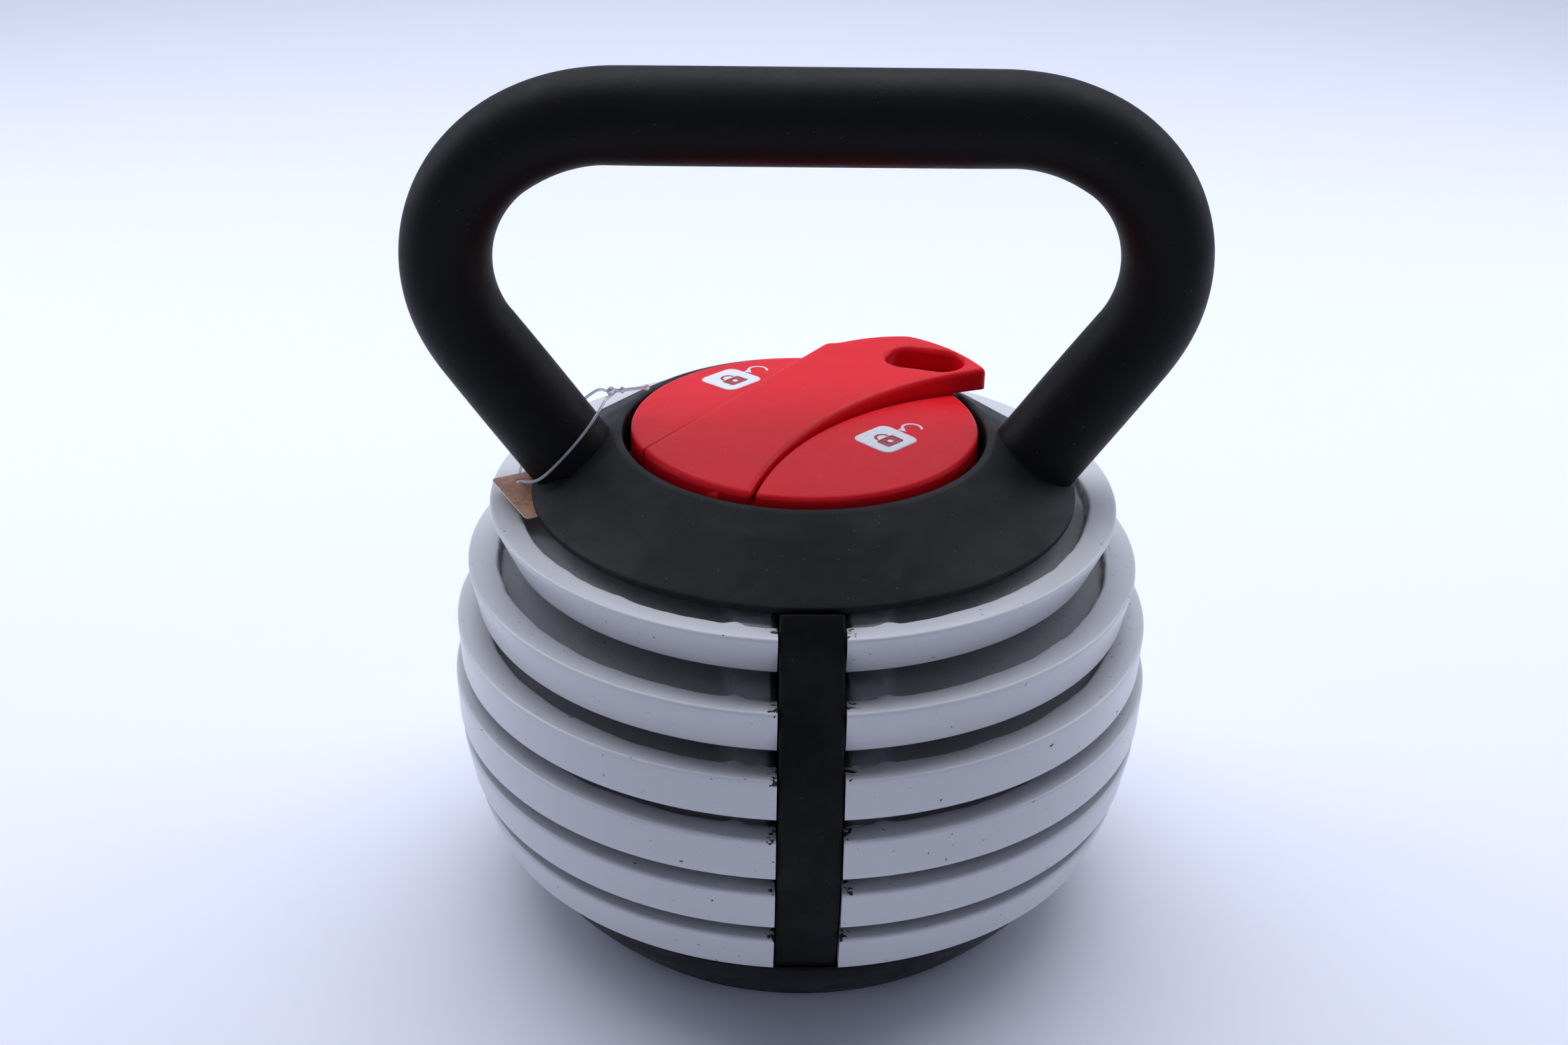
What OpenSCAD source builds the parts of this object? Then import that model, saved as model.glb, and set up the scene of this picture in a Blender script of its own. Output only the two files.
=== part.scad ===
// Adjustable kettlebell: six slotted iron plates stacked on a keyed stand and clamped
// by a handle head whose quarter-turn knob runs on a steep centre screw.
// +Z is up, the grip bar lies along X and the spine that fills the plate slots faces -Y.
// The origin is on the resting surface, on the axis of the centre post.

/* [Ball] */
// Largest radius of the plate rims
ball_r = 110.3; // [108:0.1:113]
// Height of the ball's widest level above the floor
ball_z = 80; // [79:0.5:81]
// Half height of the oval that the rim edges follow
ball_half_h = 124; // [122:1:128]

/* [Plates] */
// Distance from one plate to the next
plate_pitch = 19; // [18.9:0.1:19.1]
// Height of the lowest plate's rim edge
first_edge_z = 42.5; // [42:0.1:42.6]
// Height of a plate's outer side
rim_h = 13.7; // [13:0.1:14]
// Width of the raised ring round a plate
ring_w = 9.9; // [9:0.1:11]
// Fall of the ring's top from its outer to its inner edge
ring_fall = 1.2; // [0.8:0.1:1.5]
// How far the top plate's side tucks in towards its underside
undercut = 6.2; // [4:0.1:6.5]
// Depth of the sunk web below the ring
web_sink = 4; // [3:0.1:5]
// Mass of one plate in grams
plate_mass = 2180; // [2150:1:2200]
// Radius of the plate hub
hub_r = 26; // [24:0.5:26]
// Width of the slot from the front edge to the centre
slot_w = 19; // [18.8:0.1:19.5]
// Gap between stacked hubs
hub_gap = 0.4; // [0.3:0.1:0.5]
// Width of the raised pad beside the slot
pad_w = 12.5; // [10:0.5:14]

/* [Stand] */
// Radius of the centre post
post_r = 8.8; // [8:0.1:9]
// Radius of the steep clamp screw
screw_r = 6; // [5:0.1:6.5]
// Width of the visible spine cover
spine_w = 18; // [17:0.1:18]
// Radius of the spine's front face about the ball's centre
spine_r = 109; // [107:0.5:109]
// Thickness of the spine's cover strip
spine_t = 4; // [3:0.5:4]
// Thickness of the steel fin behind the cover
fin_t = 6; // [5:0.5:7]
// Height of the base's upper edge
base_top = 25; // [23:0.5:26]
// Wall of the base casting
base_wall = 11; // [8:0.5:12]

/* [Handle] */
// Outer radius of the handle tube
tube_r = 14.2; // [14:0.1:14.5]
// Wall of the handle tube
tube_wall = 4; // [2.5:0.5:5]
// Height of the grip bar's axis
bar_z = 254.7; // [254:0.1:255]
// Half length of the straight grip
bar_half = 57.6; // [57:0.1:58]
// Radius of the bend next to the grip
shoulder_r = 55; // [54:0.5:56]
// Turn of the bend next to the grip
shoulder_a = 35; // [34:0.5:36]
// Radius of the lower bend
side_r = 42; // [41:0.5:43]
// Lean of the legs from the vertical
leg_lean = 35.7; // [35.4:0.1:36]

/* [Collar and top plate] */
// Outer radius of the collar
collar_r = 84.2; // [84:0.1:85]
// Height of the collar's lower edge
collar_z = 138.2; // [138:0.1:138.5]
// Radius of the well that the knob sits in
well_r = 55.8; // [55.6:0.1:56]
// Height of the well's lip
lip_z = 157.4; // [157:0.1:157.6]
// Wall of the collar
collar_wall = 2.8; // [2.4:0.1:3]
// Thickness of the pressed top plate
top_t = 3.6; // [3.2:0.1:4]

/* [Knob and lever] */
// Radius of the knob
knob_r = 53.3; // [53:0.1:53.5]
// Height of the knob's top
knob_top = 159.9; // [159.5:0.1:160.5]
// Direction that the lever points in at rest
lever_az = 45; // [40:1:48]
// Radius of the lever's tip about the knob's axis
tip_r = 65.2; // [64:0.1:66]
// Rise of the lever per unit of its length
lever_rise = 0.06; // [0.05:0.005:0.07]
// Radius of the hinge pin
pin_r = 2; // [1.8:0.1:2.2]

/* [Hang tag] */
// Thickness of the card
card_t = 0.6; // [0.4:0.1:0.8]
// Diameter of the clear filament
loop_d = 0.9; // [0.8:0.1:1]

/* [Hidden] */
$fn = 96;

eps = 0.02;
big = 400;
iron_density = 0.0072;
plate_count = 6;

// Plates are counted from the top, as they are taken off.
function edge_z(i) = first_edge_z + (plate_count - i) * plate_pitch;
function oval_r(z) = ball_r * sqrt(1 - pow((z - ball_z) / ball_half_h, 2));
function edge_r(i) = oval_r(edge_z(i));
// The lower plates follow the ball down to their underside; the upper ones tuck in.
function foot_r(i) = edge_z(i) < ball_z + plate_pitch / 2
    ? oval_r(edge_z(i) - rim_h)
    : edge_r(i) - undercut * pow((edge_z(i) - ball_z) / (edge_z(1) - ball_z), 2);
function ring_in(i) = edge_r(i) - ring_w;
hub_h = plate_pitch - hub_gap;
web_top = ring_fall + web_sink;
hub_volume = PI * hub_r * hub_r * hub_h / 2;
// Volume of the ring's section turned about the axis, by its mean width and radius
function ring_volume(i) = let (w = (edge_r(i) + foot_r(i)) / 2 - ring_in(i))
    2 * PI * (ring_in(i) + w / 2) * w * rim_h;
// The web takes up the metal that is left, so that the plates weigh the same, up to a flat underside.
function web_t(i) = min(rim_h - web_top, (plate_mass / iron_density - ring_volume(i) - hub_volume)
    / (PI * ring_in(i) * ring_in(i) - slot_w * ring_in(i)));

hub_top = edge_z(1) - rim_h + hub_h;
seat_z = edge_z(plate_count) - rim_h - hub_gap;

// Base: radii of its flat underside, centre boss, screw circle and screw bosses
base_flat_r = 76;
base_boss_r = 17;
base_screw_circle = 52;
base_screw_boss = 7;
base_screw_r = 1.9;
cover_low = 3;
cover_high = 5;
cavity_r = base_flat_r - base_wall;
cavity_top = base_top - 8;
fin_foot_z = base_top - 5;
bolt_r = 4;
bolt_head_r = 8;
bolt_seat_z = 8;

// Spine: the fin's top, its tongue's length, its lightening holes and the cover's flanges
fin_top = edge_z(1) - 1;
tongue_end = 52;
hole_y = 45;
hole_r = 6;
flange_h = 11;
rivet_r = 1.5;

// Leg of the handle: the bends end where the straight leg starts.
bend_total = 90 + leg_lean;
side_a = bend_total - shoulder_a;
shoulder_end = [bar_half + shoulder_r * sin(shoulder_a), bar_z - shoulder_r * (1 - cos(shoulder_a))];
side_end = shoulder_end + side_r * [sin(bend_total) - sin(shoulder_a),
    cos(bend_total) - cos(shoulder_a)];
leg_foot_z = 138.4;
bend_swell = 0.05;
leg_len = (side_end[1] - leg_foot_z) / cos(leg_lean) + 2 * tube_r;

// Levels of the head, from the hubs upwards
pad_z = hub_top + hub_gap;
pad_h = 3.2;
channel_z = pad_z + pad_h;
channel_top = channel_z + top_t;
wing_z = edge_z(1) + 0.6;
wing_top = wing_z + top_t;
wing_r = 76.5;
channel_r = 52;
bead_r = 73;
wall_half = 44;
screw_circle = 67;
channel_half = hub_r + 2;
washer_h = 1;
floor_z = channel_top + washer_h + 0.3;
floor_t = 2.2;
hub_hole_r = 15;
knob_hub_r = 13.4;
nut_r = 9.5;
nut_screw_circle = 11.2;
flange_top = pad_z + 1.8;
ring_low = pad_z + 2;
groove_in = knob_hub_r - 0.8;

// Lever outline: a straight left edge and an arc on the right
left_n = 25.6;
left_turn = 7.2;
groove_r = 107;
groove_c = [8.1, -115.1];
tip_left_r = 41.8;
tip_left_c = [29.2, -10.4];
lever_gap = 0.4;
groove_gap = 1;
lever_low = floor_z + floor_t + 0.4;
tip_low = 158.9;
pin_s = -48;
pin_z = knob_top - 5;
pin_n = -1.5;
knuckle_r = 4.6;
knuckle_half = 13;
lug_half = 4;
spring_half = 8;
skin_t = 2.7;
heel_t = 2.4;
heel_gap = 0.2;
finger_c = [53.1, -2.8];
finger_turn = -63.6;
finger_r = 7.3;
finger_off = 5.3;

// The tag's card hangs by a filament looped round the left leg.
card_hole = [-87.4, -4.2, 140.4];
card_tilt = 5;
lock_bulb = [-59.4, 4, 167.4];
// Route of the filament: from the lock down the leg's front, through the card and up behind
loop_route = [[-59.4, 3.2, 166.4], [-61, 0, 166], [-63, -4.5, 164], [-65.5, -9.5, 161.5], [-70, -14, 157],
    [-75.5, -15.8, 151.3], [-80.5, -14.8, 146.3], [-85, -10, 143], [-87.3, -5, 141], [-88, -2, 139.4],
    [-88.4, 2, 139.3], [-87.6, 7.5, 142], [-83, 14, 146.5], [-76.5, 17, 152], [-69.5, 15.5, 159],
    [-64, 10.5, 165], [-60.4, 5, 167]];

module ring(r_out, r_in, z0, z1) {
    translate([0, 0, z0]) difference() {
        cylinder(r = r_out, h = z1 - z0);
        translate([0, 0, -1]) cylinder(r = r_in, h = z1 - z0 + 2);
    }
}

module post(r, z0, z1) {
    translate([0, 0, z0]) cylinder(r = r, h = z1 - z0);
}

module lever_frame() {
    rotate([0, 0, lever_az]) children();
}

module both_sides() {
    children();
    mirror([1, 0, 0]) children();
}

// ---- Stand ----

module base_profile() {
    intersection() {
        translate([0, ball_z]) circle(r = ball_r, $fn = 256);
        translate([0, 2]) square([big, base_top - 2]);
    }
}

module base_screw_places() {
    for (a = [45:90:315]) rotate([0, 0, a]) translate([base_screw_circle, 0, 0]) children();
}

module base_cavity() {
    // Open from below round the boss, its four ribs and the screw bosses
    difference() {
        post(cavity_r, 1, cavity_top);
        post(base_boss_r, 0, cavity_top + 1);
        for (a = [45:90:315]) rotate([0, 0, a]) translate([base_boss_r - 1, -3, 0])
            cube([cavity_r - base_boss_r + 1, 6, cavity_top + 1]);
        base_screw_places() post(base_screw_boss, 0, cavity_top + 1);
    }
}

module base_casting() {
    color([0.06, 0.06, 0.065]) difference() {
        union() {
            rotate_extrude($fn = 128) base_profile();
            post(hub_r, base_top - eps, seat_z);
        }
        base_cavity();
        post(cavity_r, 1, cover_high);
        post(post_r, cover_high, seat_z + 1);
        base_screw_places() post(base_screw_r, 0, cavity_top - 2);
        // Groove that the fin's foot stands in
        translate([-fin_t / 2, -90, fin_foot_z]) cube([fin_t, 90, 20]);
        // Notch for the foot of the spine cover
        translate([-spine_w / 2 - 0.3, -big / 2, base_top - 3.2]) cube([spine_w + 0.6, big / 2 - 78, 10]);
    }
}

module base_cover() {
    color([0.12, 0.12, 0.13]) difference() {
        post(cavity_r - 0.2, cover_low, cover_high);
        post(bolt_head_r + 3, 2, cover_high + 1);
        base_screw_places() post(base_screw_r + 0.4, 2, cover_high + 1);
    }
}

module foot_ring() {
    color([0.05, 0.05, 0.05]) ring(base_flat_r - 0.1, base_flat_r - 10, 0, 2);
}

module base_screws() {
    color([0.6, 0.6, 0.62]) base_screw_places() {
        difference() {
            post(4, 0.8, cover_low);
            for (a = [0, 90]) rotate([0, 0, a]) translate([-2.8, -0.5, 0.7]) cube([5.6, 1, 1]);
        }
        post(base_screw_r - 0.01, cover_low - eps, cavity_top - 3);
    }
}

module center_post() {
    color([0.55, 0.56, 0.58]) difference() {
        union() {
            post(post_r, bolt_seat_z, hub_top);
            post(screw_r, hub_top - eps, floor_z + 4);
        }
        // Tapped hole for the bolt from below
        post(bolt_r, bolt_seat_z - 1, 30);
        // Flat that the fin is welded to
        translate([-fin_t / 2, -post_r - 1, fin_foot_z]) cube([fin_t, 3, big]);
    }
}

module post_bolt() {
    color([0.6, 0.6, 0.62]) {
        difference() {
            post(bolt_head_r, 2.6, bolt_seat_z);
            translate([0, 0, 2]) cylinder(r = 3.4, h = 3.6, $fn = 6);
        }
        post(bolt_r, bolt_seat_z - eps, 29);
    }
}

// Side view of the fin: y runs away from the post
module fin_side() {
    intersection() {
        translate([0, ball_z]) circle(r = spine_r - spine_t - 0.1, $fn = 256);
        difference() {
            union() {
                translate([post_r - 2, fin_foot_z]) square([big, fin_top - fin_foot_z]);
                // Tongue that the head's guide fork straddles
                translate([post_r - 2, base_top]) square([tongue_end - post_r + 2, hub_top - 1 - base_top]);
            }
            // The lower front corner clears the base's round wall
            translate([89, 0]) square([big, base_top - 3.1]);
            for (i = [1:plate_count - 1]) translate([hole_y, edge_z(i + 1) + 2.5]) circle(r = hole_r);
        }
    }
}

module spine_fin() {
    color([0.2, 0.2, 0.21]) difference() {
        rotate([90, 0, -90]) translate([0, 0, -fin_t / 2]) linear_extrude(fin_t) fin_side();
        spine_rivet_places() cylinder(r = rivet_r, h = 40, center = true);
    }
}

module spine_cover() {
    low = asin((base_top - 2.9 - ball_z) / spine_r);
    high = asin((hub_top - 0.8 - ball_z) / spine_r);
    color([0.05, 0.05, 0.055]) difference() {
        translate([0, 0, ball_z]) rotate([0, -90, 180]) rotate([0, 0, 90 - high])
            rotate_extrude(angle = high - low, $fn = 256) difference() {
                translate([spine_r - flange_h, -spine_w / 2]) square([flange_h, spine_w]);
                // Channel between the side flanges that grip the fin
                translate([0, -fin_t / 2 - 0.05]) square([spine_r - spine_t, fin_t + 0.1]);
            }
        spine_rivet_places() cylinder(r = rivet_r, h = 40, center = true);
    }
}

module spine_rivet_places() {
    for (a = [-20, 2, 24]) translate([0, 0, ball_z]) rotate([-a, 0, 0])
        translate([0, -spine_r + 8, 0]) rotate([0, 90, 0]) children();
}

module spine_rivets() {
    color([0.5, 0.5, 0.52]) spine_rivet_places() cylinder(r = rivet_r, h = spine_w - 0.2, center = true);
}

// ---- Plates ----

module plate_profile(i) {
    z = edge_z(i);
    low = z - rim_h;
    polygon([[ring_in(i), low], [foot_r(i), low], [edge_r(i), z], [ring_in(i), z - ring_fall]]);
    // The web joins the ring with a short slope.
    polygon([[0, z - web_top - web_t(i)], [ring_in(i) + eps, z - web_top - web_t(i)],
        [ring_in(i) + eps, z - web_top + 1.6], [ring_in(i) - 3, z - web_top], [0, z - web_top]]);
    translate([0, low]) square([hub_r, hub_h]);
}

module slot(i) {
    translate([0, 0, edge_z(i) - 30]) cylinder(r = slot_w / 2, h = 60);
    translate([-slot_w / 2, -big, edge_z(i) - 30]) cube([slot_w, big, 60]);
}

module plate(i) {
    pad_low = edge_z(i) - web_top - 1;
    color([0.72, 0.74, 0.76]) difference() {
        union() {
            rotate_extrude($fn = 128) plate_profile(i);
            // Raised pads beside the slot
            intersection() {
                post(ring_in(i) + 1, pad_low, pad_low + 3.4);
                translate([-slot_w / 2 - pad_w, -big, 0]) cube([slot_w + 2 * pad_w, big, big]);
            }
        }
        slot(i);
    }
}

// ---- Handle head ----

module leg_line() {
    // Frame at the end of the bends with -Z running down the leg
    both_sides() translate([side_end[0], 0, side_end[1]]) rotate([0, leg_lean, 0]) children();
}

// The wall is a hair fuller in the bends, where the tube is upset by bending.
module tube_section(swell = 0) {
    difference() {
        circle(r = tube_r + swell, $fn = 64);
        circle(r = tube_r - tube_wall - swell, $fn = 64);
    }
}

module bend(center, r, a0, a1, swell) {
    // Turns the tube's section about Y through the heading angles a0 to a1.
    translate([center[0], 0, center[1]]) rotate([90, 0, 0]) rotate([0, 0, 90 - a1])
        rotate_extrude(angle = a1 - a0, $fn = 128) translate([r, 0]) tube_section(swell);
}

module handle_tube() {
    color([0.04, 0.04, 0.042]) {
        translate([-bar_half - eps, 0, bar_z]) rotate([0, 90, 0]) linear_extrude(2 * (bar_half + eps))
            tube_section();
        both_sides() {
            bend([bar_half, bar_z - shoulder_r], shoulder_r, 0, shoulder_a + eps, bend_swell);
            bend(side_end - side_r * [sin(bend_total), cos(bend_total)], side_r, shoulder_a, bend_total,
                2 * bend_swell);
            difference() {
                translate([side_end[0], 0, side_end[1]]) rotate([0, leg_lean, 0])
                    translate([0, 0, -leg_len]) linear_extrude(leg_len + eps) tube_section();
                translate([-big / 2, -big / 2, leg_foot_z - big]) cube([big, big, big]);
            }
        }
    }
}

module legs(r) {
    leg_line() translate([0, 0, -leg_len]) cylinder(r = r, h = leg_len);
}

module top_plate() {
    color([0.3, 0.3, 0.32]) difference() {
        union() {
            // Raised channel that clears the plate hubs
            intersection() {
                post(channel_r, channel_z, channel_top);
                translate([-channel_half - 5, -big / 2, 0]) cube([2 * channel_half + 10, big, big]);
            }
            both_sides() {
                // Wings that carry the legs
                intersection() {
                    post(wing_r, wing_z, wing_top);
                    translate([channel_half + 2, -big / 2, 0]) cube([big, big, big]);
                }
                // Walls between the channel and the wings
                translate([channel_half + 2, -wall_half, wing_z])
                    cube([3, 2 * wall_half, channel_top - wing_z]);
            }
        }
        legs(tube_r);
        post(hub_hole_r, 100, 200);
        collar_screw_places() translate([0, 0, 100]) cylinder(r = 2.2, h = 100);
    }
}

module weld_beads() {
    color([0.25, 0.25, 0.26]) intersection() {
        difference() {
            legs(tube_r + 2.4);
            legs(tube_r);
        }
        ring(bead_r, channel_half + 6, wing_top, wing_top + 2.2);
    }
}

module collar_profile() {
    cone = atan2(lip_z - collar_z - 2, collar_r - well_r - 1);
    drop = collar_wall / cos(cone);
    polygon([[well_r, lip_z - 8], [well_r, lip_z - 1.2], [well_r + 1.2, lip_z], [well_r + 2.4, lip_z - 0.6],
        [collar_r, collar_z + 2], [collar_r, collar_z], [collar_r - 2.6, collar_z],
        [collar_r - 2.6, collar_z + 3.4 - drop + 0.6], [well_r + collar_wall, lip_z - 0.6 - drop],
        [well_r + collar_wall, lip_z - 8]]);
}

module collar() {
    color([0.1, 0.1, 0.105]) difference() {
        union() {
            rotate_extrude($fn = 160) collar_profile();
            intersection() {
                collar_screw_places() post(4.5, wing_top, lip_z);
                rotate_extrude() difference() {
                    polygon([[0, 0], [collar_r, 0], [collar_r, collar_z + 1], [well_r + 1, lip_z - 1.2],
                             [0, lip_z - 1.2]]);
                    square([well_r, big]);
                }
            }
        }
        legs(tube_r + 0.3);
        collar_screw_places() post(1.8, wing_top - 1, wing_top + 5);
        // Rear gate that the hub of the top plate passes through
        translate([-hub_r - 1, well_r + 4, collar_z - 1]) cube([2 * hub_r + 2, big, pad_z - collar_z + 1.3]);
    }
}

module collar_screw_places() {
    for (a = [-50, 50, 130, 230]) rotate([0, 0, a]) translate([screw_circle, 0, 0]) children();
}

module collar_screws() {
    color([0.6, 0.6, 0.62]) collar_screw_places() {
        post(1.8, wing_top - eps, wing_top + 4.8);
        post(2.2, wing_z + 1.5, wing_top);
    }
}

module clamp_pad() {
    color([0.08, 0.08, 0.08]) ring(hub_r - 0.5, 16.5, pad_z, channel_z);
}

module guide_fork() {
    color([0.35, 0.35, 0.37]) both_sides()
        translate([fin_t / 2 + 0.5, -48, hub_top - 5]) cube([4.5, 20, channel_z - hub_top + 5]);
}

module hub_bush() {
    color([0.85, 0.84, 0.8]) ring(hub_hole_r, knob_hub_r + 0.1, channel_z, channel_top);
}

module thrust_washer() {
    color([0.7, 0.7, 0.72]) ring(24, hub_hole_r + 0.2, channel_top, channel_top + washer_h);
}

// ---- Knob ----

// Region to the left of the lever's straight edge, moved out by a gap
module left_side(gap) {
    rotate(left_turn) translate([-big / 2, left_n + gap]) square([big, big / 2]);
}

// Region on the far side of the curved groove, moved out by a gap
module groove_side(gap) {
    translate(groove_c) circle(r = groove_r - gap, $fn = 256);
}

module knob_segments(inset) {
    intersection() {
        circle(r = knob_r - inset, $fn = 160);
        union() {
            left_side(lever_gap + inset);
            groove_side(groove_gap + inset);
        }
    }
}

module pin_place() {
    lever_frame() translate([pin_s, pin_n, pin_z]) rotate([90, 0, 0]) children();
}

module knob_body() {
    wall = 2.4;
    color([0.75, 0.04, 0.07]) difference() {
        union() {
            lever_frame() {
                translate([0, 0, floor_z]) linear_extrude(knob_top - floor_z) knob_segments(0);
                // Floor of the lever's channel
                translate([0, 0, floor_z]) linear_extrude(floor_t) circle(r = knob_r, $fn = 160);
            }
            post(knob_hub_r, pad_z + 0.6, floor_z + 1);
        }
        // The segments are open from below.
        lever_frame() translate([0, 0, floor_z - 1]) linear_extrude(knob_top - wall - floor_z + 1)
            difference() {
                knob_segments(wall);
                circle(r = 26);
            }
        post(nut_r, pad_z, floor_z + 1.5);
        post(knob_hub_r + 1, pad_z, flange_top);
        post(screw_r + 1, pad_z, floor_z + 5);
        nut_screw_places() post(1, pad_z, pad_z + 7.6);
        // Groove for the retaining ring
        ring(knob_hub_r + 1, groove_in, ring_low, ring_low + 1);
        // Room for the lever's knuckles
        lever_frame() translate([-70, pin_n - knuckle_half - 0.5, floor_z - 1])
            cube([70 + pin_s + 6, 2 * knuckle_half + 1, 8]);
        // Room for the lever's heel as it swings down
        lever_frame() translate([0, 0, floor_z - 1]) linear_extrude(floor_t + 2) intersection() {
            lever_outline(-heel_gap);
            translate([-80, -big / 2]) square([80 + pin_s, big]);
        }
    }
    // Lug that holds the hinge pin
    color([0.75, 0.04, 0.07]) difference() {
        union() {
            pin_place() translate([0, 0, -lug_half]) cylinder(r = knuckle_r - 1, h = 2 * lug_half);
            lever_frame() translate([pin_s, pin_n - lug_half, floor_z])
                cube([8, 2 * lug_half, floor_t + 0.4]);
        }
        pin_place() cylinder(r = pin_r, h = 60, center = true);
    }
}

module nut_screw_places() {
    for (a = [0:120:240]) rotate([0, 0, a]) translate([nut_screw_circle, 0, 0]) children();
}

module clamp_nut() {
    color([0.8, 0.65, 0.3]) difference() {
        union() {
            post(nut_r, pad_z + 0.6, floor_z + 1.5);
            post(knob_hub_r - 0.2, pad_z + 0.6, flange_top);
        }
        post(screw_r + 0.06, pad_z, floor_z + 5);
        nut_screw_places() post(1.6, pad_z, flange_top + 1);
    }
}

module nut_screws() {
    color([0.6, 0.6, 0.62]) nut_screw_places() {
        post(1, flange_top - eps, pad_z + 7.6);
        post(1.6, pad_z + 0.7, flange_top);
    }
}

module retaining_ring() {
    color([0.4, 0.4, 0.42]) difference() {
        ring(16, groove_in, ring_low, ring_low + 1);
        translate([-1.5, 0, pad_z]) cube([3, 20, 5]);
    }
}

module rounded_label(w, d, r) {
    for (x = [-1, 1], y = [-1, 1]) translate([x * (w / 2 - r), y * (d / 2 - r)]) circle(r = r, $fn = 32);
    square([w - 2 * r, d], center = true);
    square([w, d - 2 * r], center = true);
}

module label(pos, turn) {
    color([0.92, 0.92, 0.92]) lever_frame() translate([pos[0], pos[1], knob_top]) rotate([0, 0, turn])
        linear_extrude(0.15) rounded_label(15, 15, 3);
}

module label_front() {
    label([6.5, -27.5], 0);
}

module label_rear() {
    label([6.5, 38.5], 0);
}

module lever_pin() {
    color([0.65, 0.65, 0.67]) pin_place() cylinder(r = pin_r, h = 2 * knuckle_half - 1, center = true);
}

module lever_spring() {
    color([0.5, 0.5, 0.52]) pin_place() for (k = [0:2]) translate([0, 0, lug_half + 0.8 + k * 1.05])
        rotate_extrude($fn = 48) translate([pin_r + 0.8, 0]) circle(r = 0.5, $fn = 16);
}

// ---- Lever ----

module lever_outline(inset) {
    difference() {
        union() {
            circle(r = knob_r - inset, $fn = 160);
            intersection() {
                circle(r = tip_r - inset, $fn = 160);
                translate(tip_left_c) circle(r = tip_left_r - inset, $fn = 128);
            }
            intersection() {
                circle(r = tip_r - inset, $fn = 160);
                translate([10, -60]) square([80, 60 - 10.4]);
            }
        }
        left_side(-inset);
        groove_side(-inset);
    }
}

module lever_top(drop) {
    // Everything above the inclined top face
    translate([-knob_r, -big / 2, knob_top - drop]) rotate([0, -atan(lever_rise), 0])
        cube([big, big, big / 2]);
}

module lever_blank() {
    difference() {
        translate([0, 0, lever_low]) linear_extrude(20) lever_outline(0);
        lever_top(0);
        // Beyond the knob's rim only the tip's thickness is left.
        difference() {
            translate([0, -big / 2, lever_low - 1]) cube([big, big, tip_low - lever_low + 1]);
            post(knob_r + 0.1, 0, 200);
        }
        // Beside the knuckles only a skin and the heel's outer wall are left.
        intersection() {
            for (m = [0, 1]) translate([0, pin_n, 0]) mirror([0, m, 0])
                translate([-80, knuckle_half, lever_low - 1])
                    cube([80 + pin_s + 12, 40, knob_top - skin_t - lever_low + 1]);
            union() {
                post(knob_r - heel_t, 0, 200);
                translate([pin_s, -big / 2, 0]) cube([big, big, big * 2]);
            }
        }
        // Hollow underside
        difference() {
            translate([0, 0, lever_low - 1]) linear_extrude(knob_top - 2.8 - lever_low + 1) difference() {
                lever_outline(3);
                translate(finger_c) circle(r = 18);
            }
            translate([-80, -big / 2, 0]) cube([80 + pin_s + 9, big, big]);
            for (n = [-10, 10]) translate([-60, n - 1, 0]) cube([120, 2, big]);
        }
    }
}

module finger_hole() {
    translate([finger_c[0], finger_c[1], 0]) rotate([0, 0, finger_turn]) {
        for (m = [-1, 1]) translate([m * finger_off, 0, 100]) cylinder(r = finger_r, h = 100);
        translate([-finger_off, -finger_r, 100]) cube([2 * finger_off, 2 * finger_r, 100]);
    }
}

module lever() {
    color([0.75, 0.04, 0.07]) difference() {
        union() {
            lever_frame() lever_blank();
            pin_place() cylinder(r = knuckle_r, h = 2 * knuckle_half, center = true);
        }
        lever_frame() finger_hole();
        // Room for the end of the clamp screw
        post(screw_r + 1.5, 100, floor_z + 5.3);
        pin_place() cylinder(r = pin_r + 0.05, h = 2 * knuckle_half + 2, center = true);
        // Pocket for the knob's lug and the spring
        pin_place() cylinder(r = knuckle_r + 0.2, h = 2 * spring_half, center = true);
        lever_frame() translate([pin_s, pin_n - spring_half, lever_low - 5])
            cube([9, 2 * spring_half, 5 + 3]);
    }
}

// ---- Hang tag ----

module tag_card() {
    // Leans on the collar's edge with its hole end up
    color([0.85, 0.55, 0.42]) difference() {
        translate(card_hole) rotate([0, 0, 30]) rotate([card_tilt, 0, 0]) difference() {
            translate([-8, -21, -card_t / 2]) cube([17, 26, card_t]);
            translate([0, 0, -2]) cylinder(r = 1.5, h = 4);
        }
        post(collar_r + 0.4, 100, 200);
    }
}

// One point of a smooth curve through a, b, c and d, at t from b to c
function curve_point(a, b, c, d, t) = 0.5 * (2 * b + (c - a) * t + (2 * a - 5 * b + 4 * c - d) * t * t
    + (3 * b - a - 3 * c + d) * t * t * t);
function curve(p, steps) = [for (i = [0:len(p) - 2], k = [0:steps - 1])
        curve_point(p[max(i - 1, 0)], p[i], p[i + 1], p[min(i + 2, len(p) - 1)], k / steps),
    p[len(p) - 1]];
function heading(p, i) = let (v = p[min(i + 1, len(p) - 1)] - p[max(i - 1, 0)]) v / norm(v);
function across(d) = let (s = cross(d, [0, 0, 1])) s / norm(s);

module cord_tube(p, r, sides) {
    rings = len(p);
    points = [for (i = [0:rings - 1]) let (d = heading(p, i), s = across(d), u = cross(s, d))
        for (k = [0:sides - 1]) p[i] + r * (cos(360 * k / sides) * s + sin(360 * k / sides) * u)];
    walls = [for (i = [0:rings - 2], k = [0:sides - 1])
        [i * sides + k, (i + 1) * sides + k, (i + 1) * sides + (k + 1) % sides, i * sides + (k + 1) % sides]];
    ends = [[for (k = [0:sides - 1]) k], [for (k = [sides - 1:-1:0]) (rings - 1) * sides + k]];
    polyhedron(points = points, faces = concat(walls, ends));
}

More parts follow.
